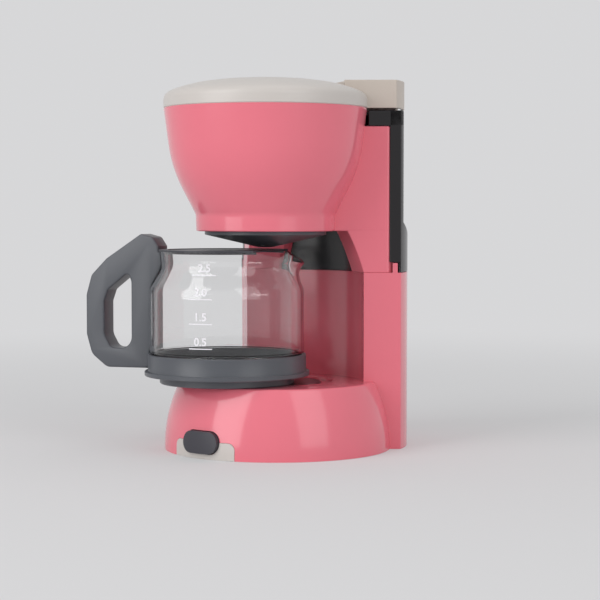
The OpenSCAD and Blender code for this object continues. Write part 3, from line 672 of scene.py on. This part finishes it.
def pill_prism(w, h, z, y0, y1):
    """A pill-shaped bar along Y."""
    n = 20
    ring = []
    for side, start in ((1, -90), (-1, 90)):
        for i in range(n + 1):
            a = math.radians(start + 180 * i / n)
            ring.append((side * (w - h) / 2 + h / 2 * math.cos(a), z + h / 2 * math.sin(a)))
    return loft([[(x, y, q) for x, q in ring] for y in (y0, y1)])


def button_hole():
    """The opening for the button, through the wall of the base."""
    return pill_prism(BUTTON_W + BUTTON_GAP, BUTTON_H + BUTTON_GAP, BUTTON_Z, -80, -55)


def build_lower_housing(trees, mats):
    """Round base, upright tower with its vents, and two tabs at the top."""
    rim_x = BASE_ARC_X + (BASE_ARC_R - RIM_R) * math.cos(math.radians(RIM_ANGLE))
    rim_z = BASE_H - RIM_R
    profile = arc(BASE_ARC_X, BASE_ARC_Z, BASE_ARC_R, TABLE_ANGLE, RIM_ANGLE, 26)
    profile += arc(rim_x, rim_z, RIM_R, RIM_ANGLE, 90, 8)[1:]
    profile += [(WARM_R + 0.5, BASE_H), (WARM_R, BASE_H - 0.5), (WARM_R, WARM_SEAT_Z)]
    profile += [(0, WARM_SEAT_Z), (0, WARM_SEAT_Z - WALL), (56.5, WARM_SEAT_Z - WALL)]
    profile += [(base_radius(z, WALL), z) for z in (30, 22, 14, 7, 0)]
    base = turned(trees["turned"], profile, mats["pink_plastic"], 0.0, 192)
    recess_w = PLATE_W + PLATE_GAP
    low, high = plate_edges(recess_w, -2.0, 10.15, 4.1)
    recess = slab_on_base(recess_w, low, high, 1.2, -4.0)
    base = combined(base, [recess, button_hole()], "DIFFERENCE")
    base = smooth(base, 30)
    tower = cup(rear_outline(SIDE_C, NICHE_R, BACK_R),
                rear_outline(SIDE_C - WALL, NICHE_R + WALL, BACK_R - WALL),
                0.0, TOWER_Z, TOWER_Z - WALL, open_low=True)
    vents = [bar_mesh(i * 7 - 1.5, i * 7 + 1.5, 82.5, 90, 60, 78) for i in range(-2, 3)]
    tower = combined(tower, vents, "DIFFERENCE")
    tower = softened(tower, 0.7)
    tabs = []
    for side in (-1, 1):
        pts = [(59.4, 36.1), (60.2, 36.9), (61.9, 38.2), (59.4, 38.2)]
        tabs.append(softened(prism([(side * x, y) for x, y in pts], 105.5, 111.6), 0.25))
    whole = joined([base, tower] + tabs)
    piece("housing_lower", whole, mats["pink_plastic"], "machine", ["lower_housing"])


def build_switch(mats):
    """The plate at the front of the base and the push button in it."""
    low, high = plate_edges(PLATE_W, 0.0, 10.0, 4.0)
    plate = slab_on_base(PLATE_W, low, high, 1.1, -0.2)
    plate = combined(plate, [button_hole()], "DIFFERENCE")
    plate = softened(plate, 0.25, 2, 40)
    piece("switch_surround", plate, mats["cream_plastic"], "machine", ["switch_plate"])
    low, high = pill(BUTTON_W, BUTTON_H, BUTTON_Z)
    cap = slab_on_base(BUTTON_W / 2, low, high, 5.2, -2.4, 56, 12)
    cap = softened(cap, 0.8, 4, 50)
    flange = softened(pill_prism(29.0, 12.2, BUTTON_Z, -62.6, -61.2), 0.2)
    stem = pill_prism(5.0, 4.9, BUTTON_Z, -61.6, -60.0)
    piece("button_cap", joined([cap, flange, smooth(stem)]), mats["button_grey"], "button",
          ["power_button"])


# ---------- brewing head ----------

def head_line(inset, shoulder_r=22.0):
    """Half section of the brewing head, from its foot to its rim."""
    points = [(41.4 - inset, HEAD_Z), (41.7 - inset, 140.6), (56.0 - inset, 168.5),
              (60.5 - inset, HEAD_TOP)]
    return rounded(points, [0, 7 + inset, shoulder_r, 0], 14, closed=False)


def build_upper_housing(trees, mats):
    """Brewing head, wings and legs."""
    outer = head_line(0.0, 80.0)
    outer = [(40.9, HEAD_Z), (41.4, HEAD_Z + 0.5)] + outer[1:-1]
    outer += [(60.45, HEAD_TOP - 0.5), (60.1, HEAD_TOP)]
    inner = [(r, z) for r, z in head_line(WALL) if z > HEAD_Z + 3]
    inner = [(58.7, HEAD_TOP)] + list(reversed(inner[:-1]))
    profile = outer + inner
    profile += [(39.2, HEAD_Z + WALL), (37.3, HEAD_Z + WALL), (37.3, HEAD_Z)]
    bowl = smooth(turned(trees["turned"], profile, mats["pink_plastic"], HEAD_Y, 192), 34)
    core_line = [(0, HEAD_Z - 8), (39.2, HEAD_Z - 8), (39.2, HEAD_Z + 2)]
    core_line += [(r, z) for r, z in head_line(1.6, 60.0) if z > HEAD_Z + 3]
    core_line += [(59.4, 210), (0, 210)]
    core = turned(trees["turned"], core_line, mats["pink_plastic"], HEAD_Y, 192)
    plan = [(0, side_y(0)), (WING_X, side_y(WING_X)), (WING_X, WING_Y), (-WING_X, WING_Y),
            (-WING_X, side_y(WING_X))]
    wings = softened(prism(plan, HEAD_Z, WING_Z), 0.7)
    wings = combined(wings, [core], "DIFFERENCE")
    parts = [bowl, wings]
    for side in (-1, 1):
        rows = []
        for k in range(17):
            z = TOWER_Z + (HEAD_Z - TOWER_Z + 0.6) * k / 16
            rows.append([(side * x, y, z) for x, y in leg_plan(z)])
        parts.append(softened(loft(rows), 0.6))
    piece("housing_upper", joined(parts), mats["pink_plastic"], "machine", ["upper_housing"])


def leg_plan(z):
    """Section of one leg: a hollow-curved front, a slanting inner edge and a flat back."""
    t = (z - TOWER_Z) / (HEAD_Z - TOWER_Z)
    inner = 28.0 - 7.0 * t
    radius, y_c, z_c = 140.0, -89.2, 69.67
    reach = y_c + math.sqrt(radius * radius - (z - z_c) ** 2)
    dx, dy = math.sin(math.radians(32.7)), math.cos(math.radians(32.7))
    front = (reach - dx * inner) / dy
    det = dx * SIDE_N[1] - dy * SIDE_N[0]
    corner = ((reach * SIDE_N[1] - dy * SIDE_C) / det, (dx * SIDE_C - reach * SIDE_N[0]) / det)
    return [(inner, front), corner, (WING_X, side_y(WING_X)), (WING_X, WING_Y),
            (inner, WING_Y)]


# ---------- frame and tank ----------

def rim_height(x, y):
    """The cup's rim, which falls towards the rear."""
    return 137.0 - 20.0 * max(0.0, y - FRAME_Y) / (86.2 - FRAME_Y)


def cup_outline(inset):
    """Plan of the cup behind the head: flat across the front, round behind."""
    r = BACK_R - inset
    y0 = FRAME_Y + inset
    a = math.degrees(math.asin((y0 - BACK_Y) / r))
    inner_r = NICHE_R + inset
    x_in = math.sqrt(max(0.0, inner_r ** 2 - (y0 - HEAD_Y) ** 2))
    out = arc(0, BACK_Y, r, a, 180 - a, 72)
    a2 = math.degrees(math.atan2(y0 - HEAD_Y, -x_in))
    out += arc(0, HEAD_Y, inner_r, a2, 180 - a2, 24)
    return out


def build_frame(mats):
    """Low cup, two upright bars with feet, and the bridge behind the head."""
    shell = cup(cup_outline(0), cup_outline(2.0), FRAME_LOW, rim_height, FRAME_LOW + 2.0)
    parts = [softened(shell, 0.5)]
    back_x = math.sqrt(BACK_R ** 2 - (BAR_BACK_Y - BACK_Y) ** 2)
    crease = side_hit(SIDE_C, BACK_Y, BACK_R)
    for side in (-1, 1):
        plan = [(BAR_X, side_y(BAR_X)), crease, (back_x, BAR_BACK_Y), (BAR_X, BAR_BACK_Y)]
        parts.append(softened(prism([(side * x, y) for x, y in plan], 112.0, FRAME_TOP), 0.5))
        foot = [(BAR_X, 38.9), (crease[0] - 0.1, 38.9), crease, (back_x, BAR_BACK_Y),
                (BAR_X, BAR_BACK_Y)]
        parts.append(softened(prism([(side * x, y) for x, y in foot], FRAME_LOW, 112.5), 0.3))
    front = side_hit(SIDE_C, HEAD_Y, BRIDGE_FRONT_R)
    a_front = angle_about(front, HEAD_Y)
    a_ring = math.degrees(math.asin((BAR_BACK_Y - HEAD_Y) / BRIDGE_BACK_R))
    right = [front, crease, (back_x, BAR_BACK_Y)]
    bridge = right + arc(0, HEAD_Y, BRIDGE_BACK_R, a_ring, 180 - a_ring, 40)
    bridge += [(-x, y) for x, y in reversed(right)]
    bridge += arc(0, HEAD_Y, BRIDGE_FRONT_R, 180 - a_front, a_front, 56)[1:-1]
    parts.append(softened(prism(bridge, BRIDGE_LOW, FRAME_TOP), 0.5))
    piece("frame_black", joined(parts), mats["black_plastic"], "tank", ["tank_frame"])


def tank_outline(inset):
    """Plan of the tank: round behind, hollow towards the head."""
    y0 = TANK_FRONT_Y + inset
    back_r = TANK_BACK_R - inset
    front_r = TANK_FRONT_R + inset
    a_back = math.degrees(math.asin((y0 - BACK_Y) / back_r))
    a_front = math.degrees(math.asin((y0 - HEAD_Y) / front_r))
    out = arc(0, BACK_Y, back_r, a_back, 180 - a_back, 72)
    out += arc(0, HEAD_Y, front_r, 180 - a_front, a_front, 40)
    return out


def build_tank(mats):
    tank = cup(tank_outline(0), tank_outline(TANK_WALL), TANK_LOW, FRAME_TOP, TANK_LOW + 2.0)
    piece("tank_smoked", softened(tank, 0.7), mats["smoked_clear"], "tank", ["water_tank"])


# ---------- lid ----------

def build_lid(trees, mats):
    """Shallow dome with a gapped ring under it, and the raised block at the rear."""
    edge = [(60.6, 204.0), (60.6, 208.6), (60.35, 210.3), (59.5, 211.7), (57.9, 213.0),
            (54.7, 214.5), (48.2, 216.6), (40.6, 218.4), (30.0, 219.9), (20.6, 220.7),
            (10.0, 221.1), (0, 221.2)]
    under = [(0, 219.2), (20.6, 218.7), (40.6, 216.3), (54.0, 212.7), (57.6, 210.4),
             (58.6, 208.0), (58.6, HEAD_TOP)]
    dome = turned(trees["turned"], [(60.1, HEAD_TOP)] + edge + under, mats["cream_plastic"],
                  HEAD_Y, 192)
    ring_in = LID_RING_R - LID_RING_WALL
    ring = turned(trees["turned"], [(LID_RING_R, LID_RING_LOW), (LID_RING_R, 216.2),
                                    (ring_in, 216.2), (ring_in, LID_RING_LOW)],
                  mats["cream_plastic"], HEAD_Y, 160)
    spaces = []
    for i in range(6):
        a = math.radians(15 + 30 * i)
        c, d = math.cos(a), math.sin(a)
        plan = [(c * u - d * v, HEAD_Y + d * u + c * v)
                for u, v in ((-62, -8), (62, -8), (62, 8), (-62, 8))]
        spaces.append(prism(plan, HEAD_TOP, 214.5))
    ring = combined(ring, spaces, "DIFFERENCE")
    piece("lid_dome", joined([smooth(dome, 40), smooth(ring)]), mats["cream_plastic"], "lid",
          ["top_lid"])
    side_c = SIDE_C + LID_OVER
    block = cup(rear_outline(side_c, LID_FRONT_R, LID_BACK_R),
                rear_outline(side_c - LID_WALL, LID_FRONT_R + LID_WALL, LID_BACK_R - LID_WALL),
                BLOCK_LOW, BLOCK_TOP, BLOCK_TOP - LID_WALL, open_low=True)
    scoops = []
    for side in (-1, 1):
        a = math.radians(90 - side * 40)
        c, d = math.cos(a), math.sin(a)
        rows = []
        for far in (54.0, 74.0):
            rows.append([(c * far - d * u, BACK_Y + d * far + c * u, z)
                         for u, z in arc(0, BLOCK_LOW - 8, 12.0, 0, 352.5, 47)])
        scoops.append(loft(rows))
    block = softened(combined(block, scoops, "DIFFERENCE"), 0.9, 3, 40)
    core_line = [(0, 190), (60.6, 190)] + edge
    core = turned(trees["turned"], core_line, mats["cream_plastic"], HEAD_Y, 192)
    block = combined(block, [core], "DIFFERENCE")
    # Same cream moulding as the dome; the block's darker, warmer colour is painted shade.
    piece("lid_rear", evened(smooth(block, 34)), mats["cream_warm"], "lid", ["lid_block"])


# ---------- jug ----------

def jug_wall():
    """Outer half section of the clear jug, from the floor to the rim."""
    points = [(0, JUG_FLOOR), (44.5, JUG_FLOOR), (44.5, 58.3), (45.8, 58.9), (45.8, 96.4),
              (38.4, 108.4), (39.4, JUG_RIM)]
    return rounded(points, [0, 2.0, 0, 0, 11.0, 9.0, 0], 10, closed=False)


def jug_radius(z):
    """Radius of the jug's outside at a height, without the spout."""
    line = [p for p in jug_wall() if p[1] >= 58.9]
    heights = [p[1] for p in line]
    i = min(max(bisect.bisect_left(heights, z), 1), len(line) - 1)
    (r0, z0), (r1, z1) = line[i - 1], line[i]
    t = (z - z0) / (z1 - z0) if z1 > z0 else 0.0
    return r0 + (r1 - r0) * max(0.0, min(1.0, t))


def spout_reach(angle, z):
    """How far the spout swells the neck, by angle in degrees and height."""
    if abs(angle) >= SPOUT_SPREAD or z <= SPOUT_LOW:
        return 0.0
    side = math.cos(math.radians(90 * angle / SPOUT_SPREAD)) ** 1.4
    rise = min(1.0, (z - SPOUT_LOW) / 18.4)
    return SPOUT_REACH * side * rise ** 1.7


def rim_top(angle):
    """Height of the rim: level, and falling from a chord of the mouth to the spout's tip."""
    z = JUG_RIM
    for _ in range(6):
        x = (jug_radius(z) + spout_reach(angle, z)) * math.cos(math.radians(angle))
        z = JUG_RIM - SPOUT_FALL * max(0.0, x - SPOUT_CHORD)
    return z


def build_jug_body(mats):
    """Clear jug: level rings below, and rings that rise to the slanting rim above."""
    line = jug_wall()
    low = [p for p in line if p[1] < JUG_SPLIT]
    n, upper = 160, 26
    turns = [2 * math.pi * i / n for i in range(n)]
    rows = [[(r * math.cos(a), r * math.sin(a), z) for a in turns] for r, z in low[1:]]
    for k in range(upper + 1):
        ring = []
        for i in range(n):
            degrees = 360 * i / n
            if degrees > 180:
                degrees -= 360
            z = JUG_SPLIT + (rim_top(degrees) - JUG_SPLIT) * (k / upper)
            r = jug_radius(z) + spout_reach(degrees, z)
            a = math.radians(degrees)
            ring.append((r * math.cos(a), r * math.sin(a), z))
        rows.append(ring)
    points = [(0, 0, JUG_FLOOR)] + [p for row in rows for p in row]
    faces = [(0, 1 + (i + 1) % n, 1 + i) for i in range(n)]
    for k in range(len(rows) - 1):
        for i in range(n):
            j = (i + 1) % n
            faces.append((1 + k * n + i, 1 + k * n + j, 1 + (k + 1) * n + j, 1 + (k + 1) * n + i))
    mesh = point_mesh(points, faces)
    mesh.shade_smooth()
    obj = temporary(mesh)
    step = obj.modifiers.new("wall", "SOLIDIFY")
    step.thickness = 1.7 * MM
    step.offset = -1.0
    step.use_even_offset = True
    mesh = smooth(evaluated(obj), 50)
    piece("jug_clear", at_jug(mesh), mats["jug_clear"], "jug", ["jug_body"])


def build_jug_base(trees, mats):
    profile = [(36.9, 40.63), (39.4, 40.63), (40, 41.2), (40, 45.3), (48.6, 45.3), (49, 45.7),
               (49, 47.6), (48.6, 48.0), (47.1, 48.0), (47.0, 48.2), (47.0, 57.4), (46.5, 58.0),
               (45.2, 58.0), (44.75, 57.6), (44.75, 50.0), (0, 50.0), (0, 47.6), (36.9, 47.6)]
    mesh = smooth(turned(trees["turned"], profile, mats["grey_plastic"], 0.0, 160), 35)
    piece("jug_foot", at_jug(mesh), mats["grey_plastic"], "jug", ["jug_base"])


def build_jug_lid(trees, mats):
    chord = math.degrees(math.acos(JUG_LID_CHORD / JUG_LID_R))
    outline = arc(0, 0, JUG_LID_R, chord, 360 - chord, 110)
    disc = prism(outline, 118.66, 119.8)
    dish = prism(arc(0, 0, 35.5, 0, 354, 59), 119.4, 122)
    disc = combined(disc, [dish], "DIFFERENCE")
    holes = [prism(arc(9 * math.cos(a), 9 * math.sin(a), 1.6, 0, 330, 11), 110, 125)
             for a in [math.radians(60 * i) for i in range(6)]]
    holes.append(prism(arc(0, 0, 3.0, 0, 345, 23), 110, 125))
    disc = softened(combined(disc, holes, "DIFFERENCE"), 0.3, 2)
    a0 = math.degrees(math.acos(SKIRT_CHORD / SKIRT_R))
    skirt = prism(arc(0, 0, SKIRT_R, a0, 360 - a0, 90) +
                  arc(0, 0, SKIRT_R - 1.6, 360 - a0, a0, 90), 117.5, 118.9)
    mesh = joined([disc, softened(skirt, 0.3, 2)])
    piece("jug_cover_disc", at_jug(mesh), mats["lid_dark"], "jug_cover", ["jug_lid"])


HANDLE_LINE = [(49.5, 48.3), (76, 48.2), (86, 56), (89.5, 68), (89.5, 92), (86, 104),
               (76, 114), (53, 129), (45, 127), (41.4, 121.6), (41.4, 118.2), (40.0, 118.2),
               (39.3, 113), (39.3, 110.5), (40.6, 107.0), (43.5, 102.2), (45.9, 98),
               (46.3, 94), (46.3, 58.6), (47.5, 58.6), (47.5, 48.9), (49.5, 48.9)]
HANDLE_ROUND = [0, 6, 8, 10, 10, 6, 2, 2.5, 3, 0.4, 0, 0, 0, 0, 0, 0, 0, 0, 0, 0, 0, 0]
FINGER_LINE = [(59.5, 60), (73, 60), (77.5, 68), (77.5, 88), (75, 95), (61.4, 105.7),
               (59.5, 100)]
FINGER_ROUND = [7, 5, 8, 5, 3, 2, 2]
SCREW_PLACES = [(52, 123), (53, 53), (66, 53)]


def handle_mesh():
    """The whole grip as one rounded bar, before it is parted into halves."""
    line = bpy.data.curves.new("grip", "CURVE")
    line.dimensions = "2D"
    line.fill_mode = "BOTH"
    for points, radii in ((HANDLE_LINE, HANDLE_ROUND), (FINGER_LINE, FINGER_ROUND)):
        ring = rounded(points, radii, 8)
        spline = line.splines.new("POLY")
        spline.points.add(len(ring) - 1)
        for i, (r, z) in enumerate(ring):
            spline.points[i].co = (-r * MM, z * MM, 0, 1)
        spline.use_cyclic_u = True
    line.extrude = (GRIP_HALF - GRIP_BEVEL) * MM
    line.bevel_depth = GRIP_BEVEL * MM
    line.bevel_resolution = 3
    line.offset = -GRIP_BEVEL * MM
    obj = bpy.data.objects.new("grip", line)
    bpy.context.scene.collection.objects.link(obj)
    mesh = evaluated(obj)
    for v in mesh.vertices:
        v.co = (v.co.x, -v.co.z, v.co.y)
    bm = bmesh.new()
    bm.from_mesh(mesh)
    bmesh.ops.remove_doubles(bm, verts=bm.verts, dist=1e-6)
    bmesh.ops.dissolve_limit(bm, angle_limit=math.radians(0.5), verts=bm.verts, edges=bm.edges)
    bmesh.ops.recalc_face_normals(bm, faces=bm.faces)
    bm.to_mesh(mesh)
    bm.free()
    return mesh


def half_of(mesh, side):
    """One half of the grip, parted along its middle with a narrow joint."""
    bm = bmesh.new()
    bm.from_mesh(mesh)
    cut = bmesh.ops.bisect_plane(bm, geom=bm.verts[:] + bm.edges[:] + bm.faces[:],
                                 plane_co=(0, side * GRIP_JOINT / 2 * MM, 0),
                                 plane_no=(0, side, 0), clear_inner=True)
    edges = [e for e in cut["geom_cut"] if isinstance(e, bmesh.types.BMEdge)]
    bmesh.ops.triangle_fill(bm, edges=edges, use_beauty=True)
    bmesh.ops.recalc_face_normals(bm, faces=bm.faces)
    out = bpy.data.meshes.new("half")
    bm.to_mesh(out)
    bm.free()
    return out


def build_handle(trees, mats):
    """Two halves, with screw wells in the left one and screws in the wells."""
    whole = handle_mesh()
    left = half_of(whole, 1)
    right = half_of(whole, -1)
    wells = []
    for r, z in SCREW_PLACES:
        ring = arc(-r, z, 3.1, 0, 345, 23)
        wells.append(loft([[(x, y, q) for x, q in ring] for y in (4.6, 9.0)]))
    left = combined(left, wells, "DIFFERENCE")
    for name, mesh, node in (("grip_left", left, "jug_handle_left"),
                             ("grip_right", right, "jug_handle_right")):
        mesh = smooth(mesh, 28)
        piece(name, at_jug(mesh), mats["grey_plastic"], "jug", [node])
    points = point_mesh([(-r, 5.4, z) for r, z in SCREW_PLACES])
    heads = trees["screws"].run(points, Turn=(-math.pi / 2, 0.0, 0.0), Head_Height=1.2 * MM,
                                Material=mats["screw_steel"])
    piece("grip_screws", at_jug(smooth(heads)), mats["screw_steel"], "jug", ["handle_screws"])


def build_scale_marks(mats):
    """Filling marks and numerals, printed round the curve of the jug."""
    marks = [("2.5", 105.8, 15.0), ("2.0", 92.2, 14.0), ("1.5", 78.1, 14.0),
             ("0.5", 63.9, 14.0)]
    parts = []
    for words, z, length in marks:
        columns = 20
        points, faces = [], []
        for k, (dz, dr) in enumerate(((-0.3, 0.02), (-0.3, 0.1), (0.3, 0.1), (0.3, 0.02))):
            for i in range(columns + 1):
                r = jug_radius(z + dz) + dr
                a = SCALE_ANGLE + (i / columns - 0.5) * length / jug_radius(z)
                points.append((r * math.cos(a), r * math.sin(a), z + dz))
        n = columns + 1
        for k in range(4):
            for i in range(columns):
                a, b = k * n + i, ((k + 1) % 4) * n + i
                faces.append((a, a + 1, b + 1, b))
        for i in (0, columns):
            faces.append(tuple(k * n + i for k in range(4)))
        parts.append(raw_mesh(points, faces, merge=0.0001))
        parts.append(numeral(words, z + 1.9))
    piece("scale_marks", at_jug(joined(parts)), mats["print_white"], "jug", ())


def numeral(words, z0):
    """Raised figures with their foot at z0, bent round the jug."""
    text = bpy.data.curves.new("numeral", "FONT")
    text.body = words
    text.size = 6.4 * MM
    text.align_x = "CENTER"
    text.extrude = 0.05 * MM
    text.offset = 0.12 * MM
    text.resolution_u = 4
    obj = bpy.data.objects.new("numeral", text)
    bpy.context.scene.collection.objects.link(obj)
    mesh = evaluated(obj)
    bm = bmesh.new()
    bm.from_mesh(mesh)
    bmesh.ops.remove_doubles(bm, verts=bm.verts, dist=1e-6)
    for axis, low, high in ((Vector((1, 0, 0)), -6.0, 6.0), (Vector((0, 1, 0)), 0.0, 5.0)):
        for k in range(int((high - low) / 0.5) + 1):
            bmesh.ops.bisect_plane(bm, geom=bm.verts[:] + bm.edges[:] + bm.faces[:],
                                   plane_co=axis * (low + 0.5 * k) * MM, plane_no=axis)
    bmesh.ops.recalc_face_normals(bm, faces=bm.faces)
    bm.to_mesh(mesh)
    bm.free()
    for v in mesh.vertices:
        x, y, h = v.co.x / MM, v.co.y / MM, v.co.z / MM
        z = z0 + y
        base = jug_radius(z)
        r = base + 0.07 + h
        a = SCALE_ANGLE + x / base
        v.co = (r * math.cos(a) * MM, r * math.sin(a) * MM, z * MM)
    return mesh


# ---------- small things ----------

def build_fasteners(trees, mats):
    """The six cross-head screws under the base."""
    steel = mats["screw_steel"]
    spots = [(54, -20), (-54, -20), (50.5, 49), (-50.5, 49), (21, 74), (-21, 74)]
    under = point_mesh([(x, y, 1.4) for x, y in spots])
    mesh = trees["screws"].run(under, Turn=(math.pi, 0.0, 0.0), Material=steel,
                               Head_Height=1.4 * MM, Shank_Length=9 * MM)
    piece("base_screws", smooth(mesh), steel, "machine", ["bottom_screws"])


# ---------- setting ----------

def backdrop_level(tree, share=1.0):
    """The share of a surface that is pale and even to the eye, in gloss and through
    clear parts."""
    ray = add_node(tree, "ShaderNodeLightPath")
    level = ray.outputs["Is Camera Ray"]
    for operation, other in (("MAXIMUM", ray.outputs["Is Transmission Ray"]),
                             ("MAXIMUM", ray.outputs["Is Glossy Ray"]), ("MULTIPLY", share)):
        step = add_node(tree, "ShaderNodeMath", [(0, level), (1, other)], operation=operation)
        level = step.outputs[0]
    return level


def floor_paint():
    """Pale floor that keeps the shadow near the object and fades into the backdrop."""
    mat, tree = new_material("floor_pale")
    lit = tree.nodes["Principled BSDF"]
    connect(tree, lit, [("Base Color", (0.74, 0.74, 0.75, 1.0)), ("Roughness", 0.9)])
    where = add_node(tree, "ShaderNodeTexCoord")
    away = add_node(tree, "ShaderNodeVectorMath", [(0, where.outputs["Object"])],
                    operation="LENGTH")
    fade = add_node(tree, "ShaderNodeMapRange", [
        ("Value", away.outputs["Value"]), ("From Min", 0.12), ("From Max", 1.1),
        ("To Min", 0.35), ("To Max", 1.0)], interpolation_type="SMOOTHSTEP")
    even = add_node(tree, "ShaderNodeEmission", [("Color", BACKDROP)])
    mix = add_node(tree, "ShaderNodeMixShader", [
        (0, backdrop_level(tree, fade.outputs["Result"])), (1, lit.outputs[0]),
        (2, even.outputs[0])])
    connect(tree, tree.nodes["Material Output"], [("Surface", mix.outputs[0])])
    return mat


def build_setting():
    """Floor, surroundings and three soft lamps."""
    scene = bpy.context.scene
    scene.view_settings.view_transform = "Standard"
    size, low = 8.0, -0.1 * MM
    floor = bpy.data.meshes.new("floor")
    floor.from_pydata([(-size, -size, low), (size, -size, low), (size, size, low),
                       (-size, size, low)], [], [(0, 1, 2, 3)])
    obj = bpy.data.objects.new("floor", floor)
    scene.collection.objects.link(obj)
    floor.materials.append(floor_paint())
    world = bpy.data.worlds.new("studio")
    scene.world = world
    world.use_nodes = True
    tree = world.node_tree
    tree.nodes.clear()
    soft = add_node(tree, "ShaderNodeBackground", [("Color", (1.0, 1.0, 1.0, 1.0)),
                                                   ("Strength", 0.45)])
    seen = add_node(tree, "ShaderNodeBackground", [("Color", BACKDROP), ("Strength", 1.0)])
    mix = add_node(tree, "ShaderNodeMixShader", [
        (0, backdrop_level(tree)), (1, soft.outputs[0]), (2, seen.outputs[0])])
    add_node(tree, "ShaderNodeOutputWorld", [("Surface", mix.outputs[0])])
    lamp("window_left", (-0.28, -1.32, 0.74), 11.5, 0.9, 1.6)
    lamp("window_right", (1.27, -0.29, 0.74), 5.5, 0.8, 1.6)
    lamp("sky", (0.0, 0.3, 1.5), 1.6, 0.9, 0.9)


def lamp(name, place, power, width, height):
    """A rectangular lamp that faces the object."""
    data = bpy.data.lights.new(name, "AREA")
    data.shape = "RECTANGLE"
    data.size = width
    data.size_y = height
    data.energy = power
    obj = bpy.data.objects.new(name, data)
    obj.location = place
    aim = Vector((0.0, 0.0, 0.11)) - Vector(place)
    obj.rotation_mode = "QUATERNION"
    obj.rotation_quaternion = aim.to_track_quat("-Z", "Y")
    bpy.context.scene.collection.objects.link(obj)


def build_camera():
    data = bpy.data.cameras.new("camera")
    data.sensor_width = 36.0
    data.lens = 104.58
    data.clip_start = 0.05
    data.clip_end = 20.0
    obj = bpy.data.objects.new("camera", data)
    obj.location = (0.6857, -0.7962, 0.142)
    turn, pitch = math.radians(40), math.radians(2.89)
    aim = Vector((-math.sin(turn) * math.cos(pitch), math.cos(turn) * math.cos(pitch),
                  -math.sin(pitch)))
    obj.rotation_mode = "QUATERNION"
    obj.rotation_quaternion = aim.to_track_quat("-Z", "Y")
    bpy.context.scene.collection.objects.link(obj)
    bpy.context.scene.camera = obj


def main():
    build_setting()
    build_camera()
    mats = finishes()
    dress_solids(mats)
    trees = {"turned": turning_tree(), "screws": screw_tree()}
    build_lower_housing(trees, mats)
    build_switch(mats)
    build_upper_housing(trees, mats)
    build_frame(mats)
    build_tank(mats)
    build_lid(trees, mats)
    build_jug_body(mats)
    build_jug_base(trees, mats)
    build_jug_lid(trees, mats)
    build_handle(trees, mats)
    build_scale_marks(mats)
    build_fasteners(trees, mats)


main()
